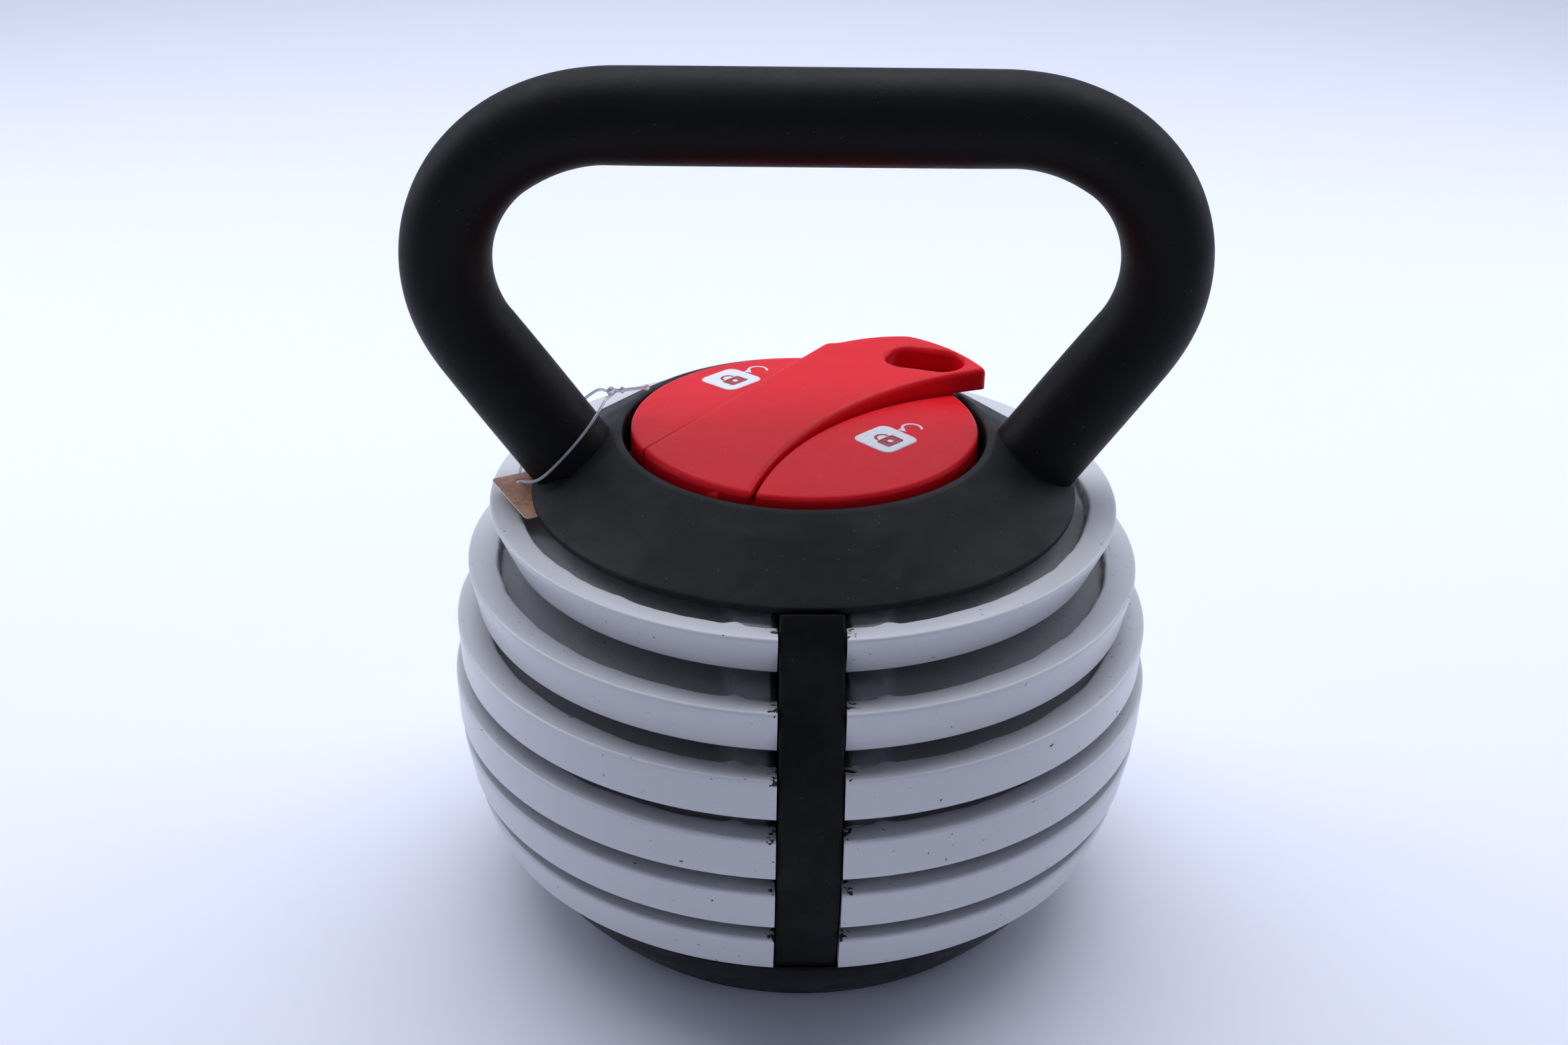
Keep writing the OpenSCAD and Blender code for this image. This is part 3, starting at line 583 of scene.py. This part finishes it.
class Sheet:
    """A flat shape with one outline and any holes, for building slabs."""

    def __init__(self, outline, holes=()):
        self.loops = [np.array(loop, float) for loop in (outline, *holes)]

    def crossings(self, points, loop):
        ends = np.roll(loop, -1, axis=0)
        x, y = points[:, 0, None], points[:, 1, None]
        spans = (loop[:, 1] > y) != (ends[:, 1] > y)
        rise = np.where(ends[:, 1] == loop[:, 1], 1.0, ends[:, 1] - loop[:, 1])
        at = loop[:, 0] + (y - loop[:, 1]) * (ends[:, 0] - loop[:, 0]) / rise
        return (spans & (at > x)).sum(1) % 2 == 1

    def inside(self, points):
        found = self.crossings(points, self.loops[0])
        for hole in self.loops[1:]:
            found &= ~self.crossings(points, hole)
        return found

    def edge_distance(self, points):
        best = np.full(len(points), 1e9)
        for loop in self.loops:
            line = np.roll(loop, -1, axis=0) - loop
            along = ((points[:, None] - loop) * line).sum(2) / np.maximum((line ** 2).sum(1), 1e-12)
            near = loop + line * np.clip(along, 0, 1)[:, :, None]
            best = np.minimum(best, np.sqrt(((points[:, None] - near) ** 2).sum(2)).min(1))
        return best

    def inset(self, depths):
        """Points set in from the loops by each depth, where no other edge is nearer."""
        found = []
        for loop in self.loops:
            heading = np.roll(loop, -1, axis=0) - np.roll(loop, 1, axis=0)
            normal = np.stack([-heading[:, 1], heading[:, 0]], 1)
            normal /= np.linalg.norm(normal, axis=1)[:, None]
            if not self.inside(loop[:1] + normal[:1] * 0.05)[0]:
                normal = -normal
            for depth in depths:
                candidates = loop + normal * depth
                clear = self.edge_distance(candidates) > depth * 0.98 - 0.01
                found.append(candidates[clear & self.inside(candidates)])
        return np.concatenate(found) if found else np.zeros((0, 2))

    def triangles(self, depths, step):
        """Triangles over the shape: the loops, their insets and a field of points inside."""
        low, high = self.loops[0].min(0), self.loops[0].max(0)
        field = np.stack(np.meshgrid(np.arange(low[0], high[0], step), np.arange(low[1], high[1], step)), -1)
        field = field.reshape(-1, 2)
        field = field[self.inside(field)]
        field = field[self.edge_distance(field) > max(depths, default=0) + step * 0.4] if len(field) else field
        edges, first = [], 0
        for loop in self.loops:
            edges += [(first + i, first + (i + 1) % len(loop)) for i in range(len(loop))]
            first += len(loop)
        points = np.concatenate([*self.loops, self.inset(depths), field])
        found, _, faces = delaunay_2d_cdt([Vector(p) for p in points], edges, [], 0, 1e-5)[:3]
        found = np.array(found)
        middles = np.array([found[list(f)].mean(0) for f in faces])
        kept = self.inside(middles)
        return found, [tuple(f) for f, keep in zip(faces, kept) if keep]


def slab(sheet, high, low, step, depths=(), low_depths=(), wall_rows=4):
    """A closed slab over a sheet. high(x, y, d) and low(x, y, d) give its faces' heights, d being the
    distance to the edge, and the walls join them."""
    top, top_faces = sheet.triangles(depths, step)
    under, under_faces = sheet.triangles(low_depths, step)
    top_d, under_d = sheet.edge_distance(top), sheet.edge_distance(under)
    verts = [(x, y, high(x, y, d)) for (x, y), d in zip(top, top_d)]
    shift = len(verts)
    verts += [(x, y, low(x, y, d)) for (x, y), d in zip(under, under_d)]
    faces = top_faces + [tuple(shift + i for i in reversed(f)) for f in under_faces]
    first = 0
    for loop in sheet.loops:
        count = len(loop)
        rows = [list(range(first, first + count))]
        for r in range(1, wall_rows):
            rows.append(list(range(len(verts), len(verts) + count)))
            for x, y in loop:
                upper, lower = high(x, y, 0.0), low(x, y, 0.0)
                verts.append((x, y, upper + (lower - upper) * r / wall_rows))
        rows.append([shift + first + i for i in range(count)])
        for upper, lower in zip(rows, rows[1:]):
            for i in range(count):
                j = (i + 1) % count
                faces.append((upper[i], lower[i], lower[j], upper[j]))
        first += count
    return verts, faces


def star_outline(is_inside, center, count=720, reach=90.0):
    """The edge of a region that can all be seen from its centre."""
    out = []
    for k in range(count):
        a = 2 * math.pi * k / count
        near, far = 0.0, 0.5
        while far < reach and is_inside(center[0] + far * math.cos(a), center[1] + far * math.sin(a)):
            near, far = far, far + 0.5
        for _ in range(20):
            mid = (near + far) / 2
            if is_inside(center[0] + mid * math.cos(a), center[1] + mid * math.sin(a)):
                near = mid
            else:
                far = mid
        out.append((center[0] + near * math.cos(a), center[1] + near * math.sin(a)))
    return out


def even_steps(loop, step):
    """The same closed line with points at even steps."""
    p = np.array(loop)
    p = np.vstack([p, p[:1]])
    run = np.concatenate([[0], np.cumsum(np.linalg.norm(np.diff(p, axis=0), axis=1))])
    at = np.linspace(0, run[-1], int(run[-1] / step) + 1)[:-1]
    return np.stack([np.interp(at, run, p[:, 0]), np.interp(at, run, p[:, 1])], 1)


def soften(loop, passes):
    """Rounds the corners of an evenly stepped closed line."""
    p = np.array(loop)
    for _ in range(passes):
        p = p * 0.5 + (np.roll(p, 1, axis=0) + np.roll(p, -1, axis=0)) * 0.25
    return p


def edge_round(radius):
    """How far a rounded edge has fallen at a distance d from the outline."""
    return lambda d: radius - math.sqrt(max(radius ** 2 - max(radius - d, 0.0) ** 2, 0.0))


def quarter(radius, count=5):
    """Distances from an edge that cut its rounding into even turns."""
    return [radius * (1 - math.cos(math.radians(90 * k / count))) for k in range(1, count)] + [radius]


# ---- Hang tag's card ----

CARD_HOLE = Vector((-87.4, -4.2, 140.4))
CARD_TURN, CARD_TILT = 30, 5
CARD_THICK = 0.45


def make_tag_card():
    """A printed card with rounded corners and a punched hole, leaning beside the collar."""
    low, high = box_mm("tag_card")
    collar_r = box_mm("collar")[1].x
    place = (Matrix.Translation(CARD_HOLE) @ Matrix.Rotation(math.radians(CARD_TURN), 4, "Z")
             @ Matrix.Rotation(math.radians(CARD_TILT), 4, "X"))
    # The card's inner edge follows the collar in this view, so its corner is cut off there.
    outline = rounded([(-7.8, -20.5), (-3.0, -20.5), (3.6, -9.5), (7.6, 1.6), (7.2, 4.4), (-7.8, 4.8)],
                      [1.5, 1.0, 12, 3, 1.0, 1.5], 0.8)
    hole = arc_points((0, 0), 1.5, 0, 345, 24)
    curl = lambda x, y: 0.25 * math.sin((y + 8) / 9) + 0.006 * x * x * 0.3
    top = lambda x, y, d: CARD_THICK / 2 + curl(x, y) - 0.2
    under = lambda x, y, d: -CARD_THICK / 2 + curl(x, y) - 0.2
    verts, faces = slab(Sheet(outline, [hole]), top, under, 1.2)
    card = add_piece("hang_card", [place @ Vector(v) for v in verts], faces, None, "head",
                     materials=[tag_print(), card_core()], smooth=False)
    for p in card.data.polygons:
        p.material_index = 0 if abs(p.normal.z) > 0.6 else 1
    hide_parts("tag_card")
    return card


make_filament()

# ---- Handle ----

TUBE_R = 14.2
BAR_HALF = 57.6
SHOULDER_R, SHOULDER_TURN = 55.0, 35.0
SIDE_R = 42.0
LEG_LEAN = 35.7
BAR_Z = box_mm("handle_tube")[1].z - TUBE_R


def leg_axis(side):
    """A point on a leg's axis and the direction that it rises in; side is 1 or -1."""
    end = half_handle()[-1][0]
    lean = math.radians(LEG_LEAN)
    return Vector((side * end.x, 0, end.z)), Vector((side * math.sin(lean), 0, math.cos(lean)))


def half_handle():
    """Centreline of the right half from the bar's middle to the foot, with how much each point is bent."""
    line = [(Vector((BAR_HALF * k / 8, 0, BAR_Z)), 0.0) for k in range(9)]
    here, heading = Vector((BAR_HALF, 0, BAR_Z)), 0.0
    for radius, turn, count in ((SHOULDER_R, SHOULDER_TURN, 14), (SIDE_R, 90 + LEG_LEAN - SHOULDER_TURN, 34)):
        centre = here + Vector((-math.sin(heading), 0, -math.cos(heading))) * radius
        for k in range(1, count + 1):
            a = heading + math.radians(turn) * k / count
            bent = 0.55 if radius == SHOULDER_R else 1.0
            line.append((centre + Vector((math.sin(a), 0, math.cos(a))) * radius, bent))
        heading += math.radians(turn)
        here = line[-1][0]
    foot = box_mm("handle_tube")[0].z
    down = Vector((math.cos(heading), 0, -math.sin(heading)))
    length = (here.z - foot) / -down.z + TUBE_R
    line += [(here + down * length * k / 10, 0.0) for k in range(1, 11)]
    return line


def make_handle(material):
    half = half_handle()
    line = [(Vector((-p.x, 0, p.z)), bent) for p, bent in reversed(half[1:])] + half
    weights = np.array([bent for _, bent in line])
    for _ in range(4):
        weights[1:-1] = (weights[:-2] + 2 * weights[1:-1] + weights[2:]) / 4

    def squeeze(i):
        return TUBE_R * (1 + 0.004 * weights[i]), TUBE_R * (1 - 0.035 * weights[i])

    verts, faces = tube_mesh([p for p, _ in line], TUBE_R, 96, squeeze)
    handle = add_piece("grip_handle", verts, faces, material, "head")
    bm = bmesh.new()
    bm.from_mesh(handle.data)
    foot = box_mm("handle_tube")[0].z * MM
    cut = bmesh.ops.bisect_plane(bm, geom=bm.verts[:] + bm.edges[:] + bm.faces[:], plane_co=(0, 0, foot),
                                 plane_no=(0, 0, -1), clear_outer=True)
    bmesh.ops.holes_fill(bm, edges=[e for e in cut["geom_cut"] if isinstance(e, bmesh.types.BMEdge)], sides=0)
    bm.to_mesh(handle.data)
    bm.free()
    handle.data.shade_smooth()
    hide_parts("handle_tube")


# ---- Collar ----

LEG_GAP = 0.35
COLLAR_WALL = 2.8


def make_collar(material):
    """A sloped ring with a rounded inner lip, holes for the legs and a low gate at its back."""
    low, high = box_mm("collar")
    outer, edge, lip = high.x, low.z, high.z
    well = box_mm("knob_body")[1].x + 2.5
    slope = [(well + 2.6, lip - 0.7), (well + 10, lip - 5.0), (well + 18, lip - 10.3), (outer, edge + 2.0)]
    corners = [(well, lip - 8), (well, lip), *slope, (outer, edge), (outer - 2.6, edge),
               (outer - 3.4, edge + 1.6), (well + COLLAR_WALL + 1, lip - 4.4), (well + COLLAR_WALL, lip - 8)]
    radii = [0.5, 1.5, 3.0, 25, 25, 0.9, 0.7, 0.5, 0.5, 1.0, 0.5]
    verts, faces = lathe(rounded(corners, radii, 2.2), 320)
    collar = add_piece("sloped_collar", verts, faces, material, "head")
    cutters = [leg_cutter(side, TUBE_R + LEG_GAP) for side in (-1, 1)]
    hub = box_mm("plate_1")
    gate_half, gate_top = 27.0, box_mm("clamp_pad")[0].z + 0.3
    cutters.append(block_cutter((-gate_half, well + 4, edge - 5), (gate_half, outer + 20, gate_top)))
    cut_away(collar, cutters)
    bevel_edges(collar, 0.55, 3, 50)
    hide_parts("collar")


def cut_away(obj, cutters):
    for cutter in cutters:
        modifier = obj.modifiers.new("cut", "BOOLEAN")
        modifier.operation, modifier.object, modifier.solver = "DIFFERENCE", cutter, "EXACT"
    apply_modifiers(obj)
    for cutter in cutters:
        bpy.data.objects.remove(cutter)


def loose_mesh(name, verts, faces):
    mesh = bpy.data.meshes.new(name)
    mesh.from_pydata([tuple(c * MM for c in v) for v in verts], [], faces)
    obj = bpy.data.objects.new(name, mesh)
    bpy.context.scene.collection.objects.link(obj)
    clean(obj)
    return obj


def leg_cutter(side, radius):
    point, rise = leg_axis(side)
    verts, faces = tube_mesh([point - rise * 75, point + rise * 10], radius, 96)
    return loose_mesh("leg_cutter", verts, faces)


def block_cutter(low, high, turn=Matrix()):
    verts = [turn @ Vector((x, y, z)) for z in (low[2], high[2]) for x, y in
             ((low[0], low[1]), (high[0], low[1]), (high[0], high[1]), (low[0], high[1]))]
    faces = [(3, 2, 1, 0), (4, 5, 6, 7), (0, 1, 5, 4), (1, 2, 6, 5), (2, 3, 7, 6), (3, 0, 4, 7)]
    return loose_mesh("block_cutter", verts, faces)


# ---- Plates ----

RIM_H = 13.7
RING_W = 9.9
RING_FALL = 1.2
WEB_SINK = 5.2
HUB_R = 26.0
SLOT_HALF = 9.5
PAD_W = 12.5
PAD_RISE = 2.4


def plate_levels(index):
    """The plate's measures: rim edge's radius and height, foot's radius, underside, web's underside, hub's top."""
    node = f"plate_{index}"
    low, high = box_mm(node)
    points = np.array([v.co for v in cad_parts[node].data.vertices]) / MM
    radius = np.hypot(points[:, 0], points[:, 1])
    foot_r = radius[points[:, 2] < low.z + 0.05].max()
    edge_r, edge_z = high.x, low.z + RIM_H
    hollow = points[(radius < edge_r - RING_W + 0.5) & (points[:, 2] > low.z + 0.1) & (points[:, 2] < edge_z - WEB_SINK - 1)]
    web_low = hollow[:, 2].min() if len(hollow) else low.z
    return edge_r, edge_z, foot_r, low.z, web_low, high.z


def make_plate(index):
    edge_r, edge_z, foot_r, low, web_low, hub_top = plate_levels(index)
    ring_in, web_top = edge_r - RING_W, edge_z - WEB_SINK
    corners = [(SLOT_HALF, low), (HUB_R, low), (HUB_R + 0.6, web_low + 0.02), (ring_in - 1.5, web_low + 0.02), (ring_in, low),
               (foot_r, low), (edge_r, edge_z), (ring_in + 0.4, edge_z - RING_FALL), (ring_in - 0.4, web_top),
               (HUB_R + 1.5, web_top), (HUB_R, hub_top), (SLOT_HALF, hub_top)]
    radii = [0, 0.8, 0.5, 0.8, 0.8, 1.1, 1.0, 1.3, 1.5, 2.0, 1.2, 0.5]
    if web_low < low + 0.5:
        del corners[2:4], radii[2:4]
    profile = rounded(corners, radii, 2.6, 4)
    columns, verts = 288, []
    for i in range(columns):
        for r, z in profile:
            half = math.asin(min(1.0, SLOT_HALF / r))
            a = -math.pi / 2 + half + (2 * math.pi - 2 * half) * i / (columns - 1)
            verts.append(cast_point(r, a, z, index, edge_r, edge_z, web_top, low))
    faces = grid_faces(columns, len(profile), close_rows=False)
    faces += [tuple(range(len(profile))), tuple(reversed(range(len(verts) - len(profile), len(verts))))]
    material = grey_enamel(f"grey_enamel_{index}", edge_z, edge_r, SLOT_HALF)
    plate = add_piece(f"cast_plate_{index}", verts, faces, material, f"plate_{index}")
    bevel_edges(plate, 0.45, 2, 55)
    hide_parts(f"plate_{index}")


def cast_point(r, a, z, index, edge_r, edge_z, web_top, low):
    """A point of the plate's skin, with the unevenness of a painted casting."""
    x, y = r * math.cos(a), r * math.sin(a)
    seed = 7.3 * index
    wave = nearby_noise(x, y, z, 14, seed)
    fine = nearby_noise(x, y, z, 4.5, seed + 3)
    ring_in = edge_r - RING_W
    on_slot = abs(abs(x) - SLOT_HALF) < 0.01 and y < 0 or r < SLOT_HALF + 0.01
    if on_slot:
        return x, y, z
    shift, rise = 0.0, 0.0
    if z > web_top - 0.5 and ring_in - 3 < r < ring_in + 2.5:
        # The ring's inner edge is wavy, with nubs of metal near the slot.
        shift += 0.7 * wave + 0.35 * fine
        nub = math.exp(-((abs(x) - 21 - wave) / 2.0) ** 2) if y < 0 else 0.0
        shift -= 1.1 * nub
        rise += 0.5 * nub if z > edge_z - 3 else 0.0
    if r > edge_r - 3 and z > low + 1:
        shift += 0.03 * wave - 0.03
    if HUB_R + 1 < r < ring_in and z > (web_top + low) / 2:
        on_pad = 1 - min(1.0, max(0.0, (abs(x) - SLOT_HALF - PAD_W) / 1.6)) if y < 0 else 0.0
        rise += PAD_RISE * on_pad * min(1.0, (r - HUB_R) / 4) + 0.22 * fine + 0.2 * wave
    return x + shift * math.cos(a), y + shift * math.sin(a), z + rise


# ---- Stand ----


def make_base(material):
    low, high = box_mm("base_casting")
    ball_r, ball_z = 110.3, 80.0
    rim_z, bottom = 25.0, low.z
    bore = box_mm("center_post")[1].x + 0.1
    cavity_r, cavity_top, boss_r, floor_z = 65.0, 17.0, 17.0, 5.0
    round_side = [(math.sqrt(ball_r ** 2 - (ball_z - z) ** 2), z) for z in np.linspace(bottom, rim_z, 12)]
    corners = [(cavity_r, bottom), *round_side, (HUB_R + 0.5, rim_z), (HUB_R, high.z), (bore, high.z),
               (bore, floor_z), (boss_r, floor_z), (boss_r, cavity_top), (cavity_r, cavity_top)]
    radii = [0.5, 1.2] + [30] * (len(round_side) - 2) + [1.5, 1.5, 0.8, 0.3, 0.3, 0.8, 1.0, 1.0]
    verts, faces = lathe(rounded(corners, radii, 3.0, 4), 256)
    base = add_piece("base_dish", verts, faces, material, "stand")
    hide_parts("base_casting")


def make_spine(material):
    """A bowed channel section, its front edges rounded."""
    low, high = box_mm("spine_cover")
    spine_r, flange, channel, web = 109.0, 11.0, 3.05, 4.0
    ball_z, half = 80.0, high.x
    section = rounded([(-half, spine_r - flange), (-channel, spine_r - flange), (-channel, spine_r - web),
                       (channel, spine_r - web), (channel, spine_r - flange), (half, spine_r - flange),
                       (half, spine_r), (-half, spine_r)], [0.5, 0.4, 0, 0, 0.4, 0.5, 1.3, 1.3], 1.5, 5)
    first = math.asin((low.z - ball_z) / spine_r)
    last = math.asin((high.z - ball_z) / spine_r)
    count, verts = 64, []
    for i in range(count):
        a = first + (last - first) * i / (count - 1)
        for x, r in section:
            bow = 0.18 * nearby_noise(x, r, 100 * a, 22, 4.0)
            verts.append((x, -(r + bow - 0.15) * math.cos(a), ball_z + (r + bow - 0.15) * math.sin(a)))
    faces = grid_faces(count, len(section), close_rows=False)
    faces += [tuple(range(len(section))), tuple(reversed(range(len(verts) - len(section), len(verts))))]
    spine = add_piece("spine_strip", verts, faces, material, "stand")
    bevel_edges(spine, 0.7, 3, 60)
    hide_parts("spine_cover")


# ---- Knob and lever, in the lever's own frame: s along it, n to its left ----

LEVER_AZ = 45.0
LEVER_TURN = Matrix.Rotation(math.radians(LEVER_AZ), 4, "Z")
KNOB_R = box_mm("knob_body")[1].x
KNOB_TOP = box_mm("knob_body")[1].z
FLOOR_Z = box_mm("thrust_washer")[1].z + 0.3
FLOOR_T = 2.2
LEFT_N, LEFT_TURN = 25.6, math.radians(7.2)
GROOVE_C, GROOVE_R = (8.1, -115.1), 107.0
TIP_R = 65.2
TIP_LEFT_C, TIP_LEFT_R = (29.2, -10.4), 41.8
LEVER_GAP, GROOVE_GAP = 0.45, 1.1
LEVER_RISE = 0.06
TIP_LOW = 158.9
PIN = Vector((-48.0, -1.5, KNOB_TOP - 5.0))
PIN_R = 2.0
KNUCKLE_R, KNUCKLE_IN, KNUCKLE_OUT = 4.6, 8.0, 13.0
FINGER_C, FINGER_TURN, FINGER_R, FINGER_OFF = (53.1, -2.8), math.radians(-63.6), 7.3, 5.3
KNOB_EDGE, LEVER_EDGE = 1.5, 2.0


def left_of_line(s, n, gap):
    return n * math.cos(LEFT_TURN) - s * math.sin(LEFT_TURN) > LEFT_N + gap


def past_groove(s, n, gap):
    return math.hypot(s - GROOVE_C[0], n - GROOVE_C[1]) < GROOVE_R - gap


def in_lever(s, n):
    reach = math.hypot(s, n)
    tip = reach < TIP_R and (math.hypot(s - TIP_LEFT_C[0], n - TIP_LEFT_C[1]) < TIP_LEFT_R or (s > 10 and n < TIP_LEFT_C[1]))
    return (reach < KNOB_R or tip) and not left_of_line(s, n, 0) and not past_groove(s, n, 0)


def knob_dome(s, n):
    """The knob's top is slightly domed."""
    return KNOB_TOP - 0.7 + 1.5 * (1 - (math.hypot(s, n) / KNOB_R) ** 2)


def placed(verts):
    return [LEVER_TURN @ Vector(v) for v in verts]


def make_knob(material):
    fall = edge_round(KNOB_EDGE)
    segments = {
        "knob_side_rear": ((4, 38), lambda s, n: math.hypot(s, n) < KNOB_R and left_of_line(s, n, LEVER_GAP)),
        "knob_side_front": ((6, -30), lambda s, n: math.hypot(s, n) < KNOB_R and past_groove(s, n, GROOVE_GAP)),
    }
    for name, (center, is_inside) in segments.items():
        outline = soften(even_steps(star_outline(is_inside, center), 0.7), 5)
        verts, faces = slab(Sheet(outline), lambda s, n, d: knob_dome(s, n) - fall(d),
                            lambda s, n, d: FLOOR_Z + FLOOR_T - 0.1, 2.4, quarter(KNOB_EDGE))
        add_piece(name, placed(verts), faces, material, "knob")
    nut_low = box_mm("clamp_nut")[0].z
    hub_r, bore = box_mm("hub_bush")[1].x - 1.6, box_mm("clamp_nut")[1].x
    corners = [(7.0, FLOOR_Z + 1.6), (7.0, FLOOR_Z + FLOOR_T), (KNOB_R, FLOOR_Z + FLOOR_T), (KNOB_R, FLOOR_Z),
               (hub_r, FLOOR_Z), (hub_r, nut_low + 1.4), (9.6, nut_low + 1.4), (9.6, FLOOR_Z + 1.6)]
    verts, faces = lathe(rounded(corners, [0.2, 0.3, 0.8, 0.6, 0.5, 0.3, 0.2, 0.2], 3.0, 3), 192)
    floor = add_piece("knob_floor", verts, faces, material, "knob")
    cut_away(floor, [block_cutter((-70, -26, FLOOR_Z - 1), (PIN.x, 20, FLOOR_Z + 5), LEVER_TURN),
                     block_cutter((-70, PIN.y - 13.5, FLOOR_Z - 1), (PIN.x + 6, PIN.y + 13.5, FLOOR_Z + 5), LEVER_TURN)])
    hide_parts("knob_body")
    lug = [ring_along_pin(KNUCKLE_R - 1, PIN_R, -4.0, 4.0)]
    add_joined("knob_lug", lug, material, "knob")


def ring_along_pin(outer, inner, start, end):
    """A short tube round the hinge pin, from start to end along it."""
    corners = [(inner, start), (outer, start), (outer, end), (inner, end)]
    verts, faces = lathe(rounded(corners, [0.15, 0.5, 0.5, 0.15], 1.5, 3), 48)
    lie = Matrix.Translation(PIN) @ Matrix.Rotation(math.radians(90), 4, "X")
    return [LEVER_TURN @ lie @ Vector(v) for v in verts], faces


def add_joined(name, parts, material, body):
    verts, faces = [], []
    for part_verts, part_faces in parts:
        shift = len(verts)
        verts += part_verts
        faces += [tuple(shift + i for i in f) for f in part_faces]
    return add_piece(name, verts, faces, material, body)


def finger_hole():
    turn = np.array([math.cos(FINGER_TURN), math.sin(FINGER_TURN)])
    side = np.array([-turn[1], turn[0]])
    out = []
    for sign in (1, -1):
        for k in range(25):
            a = math.pi * (k / 24 - 0.5)
            out.append(np.array(FINGER_C) + sign * turn * FINGER_OFF
                       + sign * FINGER_R * (turn * math.cos(a) + side * math.sin(a)))
    return even_steps(out, 0.7)


def make_lever(material):
    """The long lever: it rises from the rim to its tip, and is hollow below its skin."""
    fall = edge_round(LEVER_EDGE)
    low_z, wall, skin = FLOOR_Z + FLOOR_T + 0.4, 2.6, 2.7

    def top(s, n, d):
        crown = 0.4 - 0.0011 * (n - 5) ** 2
        return KNOB_TOP + LEVER_RISE * (s + KNOB_R) + crown - 0.35 - fall(d)

    def under(s, n, d):
        if math.hypot(s, n) > KNOB_R + 0.1:
            return TIP_LOW
        if s < PIN.x + 12:
            if d < wall and s < PIN.x:
                return low_z
            return TIP_LOW if abs(n - PIN.y) < KNUCKLE_IN + 0.5 and s > PIN.x - 5 else KNOB_TOP - skin
        return low_z if d < wall else KNOB_TOP - skin

    outline = soften(even_steps(star_outline(in_lever, (8, 10)), 0.7), 6)
    verts, faces = slab(Sheet(outline, [finger_hole()]), top, under, 2.2, quarter(LEVER_EDGE, 6), [wall - 0.2, wall + 0.2], 6)
    lever = add_piece("lever_arm", placed(verts), faces, material, "lever")
    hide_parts("lever")
    knuckles = [ring_along_pin(KNUCKLE_R - 0.2, PIN_R + 0.05, sign * KNUCKLE_OUT, sign * KNUCKLE_IN) for sign in (-1, 1)]
    add_joined("lever_knuckles", knuckles, material, "lever")


# ---- Labels: a plain padlock and a turn arrow ----

LABEL_SIZE, LABEL_R = 15.0, 3.0
LABEL_UP, INK_UP = 0.10, 0.13


def on_knob(name, outline, holes, center, rise, material):
    """A thin printed patch that follows the knob's dome."""
    sheet = Sheet([(x + center[0], y + center[1]) for x, y in outline],
                  [[(x + center[0], y + center[1]) for x, y in h] for h in holes])
    verts, faces = slab(sheet, lambda s, n, d: knob_dome(s, n) + rise, lambda s, n, d: knob_dome(s, n) - 0.05, 1.2, (), (), 1)
    return add_piece(name, placed(verts), faces, material, "knob")


def box_outline(x0, y0, x1, y1, radius):
    return rounded([(x0, y0), (x1, y0), (x1, y1), (x0, y1)], [radius] * 4, 0.8)


def arc_band(radius, width, start, end, count=24):
    outer = arc_points((0, 0), radius + width / 2, start, end, count)
    return outer + arc_points((0, 0), radius - width / 2, end, start, count)


def make_labels():
    white, ink = label_white(), label_red()
    for name, node, center in (("label_front", "label_front", (6.5, -27.5)), ("label_rear", "label_rear", (6.5, 38.5))):
        half = LABEL_SIZE / 2
        card = on_knob(f"{name}_patch", box_outline(-half, -half, half, half, LABEL_R), [], center, LABEL_UP, white)
        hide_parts(node)
        on_knob(f"{name}_lock_body", box_outline(-3.6, -4.4, 3.6, 0.8, 0.9), [arc_points((0, -1.8), 0.9, 0, 345, 16)], center,
                INK_UP, ink)
        shackle = [(x, y + 1.2) for x, y in arc_band(2.2, 0.9, 0, 180)]
        on_knob(f"{name}_lock_shackle", shackle, [], center, INK_UP, ink)
        arrow_c = (center[0] + half + 4.6, center[1])
        on_knob(f"{name}_arrow_arc", arc_band(3.0, 0.8, -60, 150), [], arrow_c, LABEL_UP, white)
        on_knob(f"{name}_arrow_head", [(-4.6, 1.9), (-1.2, 2.4), (-3.4, -0.6)], [], arrow_c, LABEL_UP, white)


# ---- Materials of the CAD pieces that show ----


def paint(material, *names):
    for name in names:
        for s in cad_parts[name].material_slots:
            s.material = material


zinc = turned_metal("zinc_steel", (0.42, 0.43, 0.45, 1), (0.55, 0.56, 0.58, 1), 0.28)
brass = turned_metal("turned_brass", (0.6, 0.42, 0.16, 1), (0.7, 0.52, 0.24, 1), 0.25)
dark_steel = satin_black("dark_steel", 0.4, 0.03, 1.0, 0.05)
red = red_plastic()

make_handle(powder_coat())
make_collar(collar_plastic())
for plate_index in range(1, 7):
    make_plate(plate_index)
make_base(satin_black("black_base", 0.3, 0.006, 1.2, 0.06))
make_spine(satin_black("black_spine", 0.3, 0.007, 0.8, 0.02))
make_knob(red)
make_lever(red)
make_labels()
paint(zinc, "base_screws", "center_post", "post_bolt", "spine_rivets", "collar_screws", "thrust_washer", "nut_screws",
      "retaining_ring", "lever_pin", "lever_spring")
paint(dark_steel, "base_cover", "spine_fin", "top_plate", "weld_beads", "guide_fork")
paint(brass, "clamp_nut")
paint(rubber(), "foot_ring", "clamp_pad")
paint(acetal(), "hub_bush")
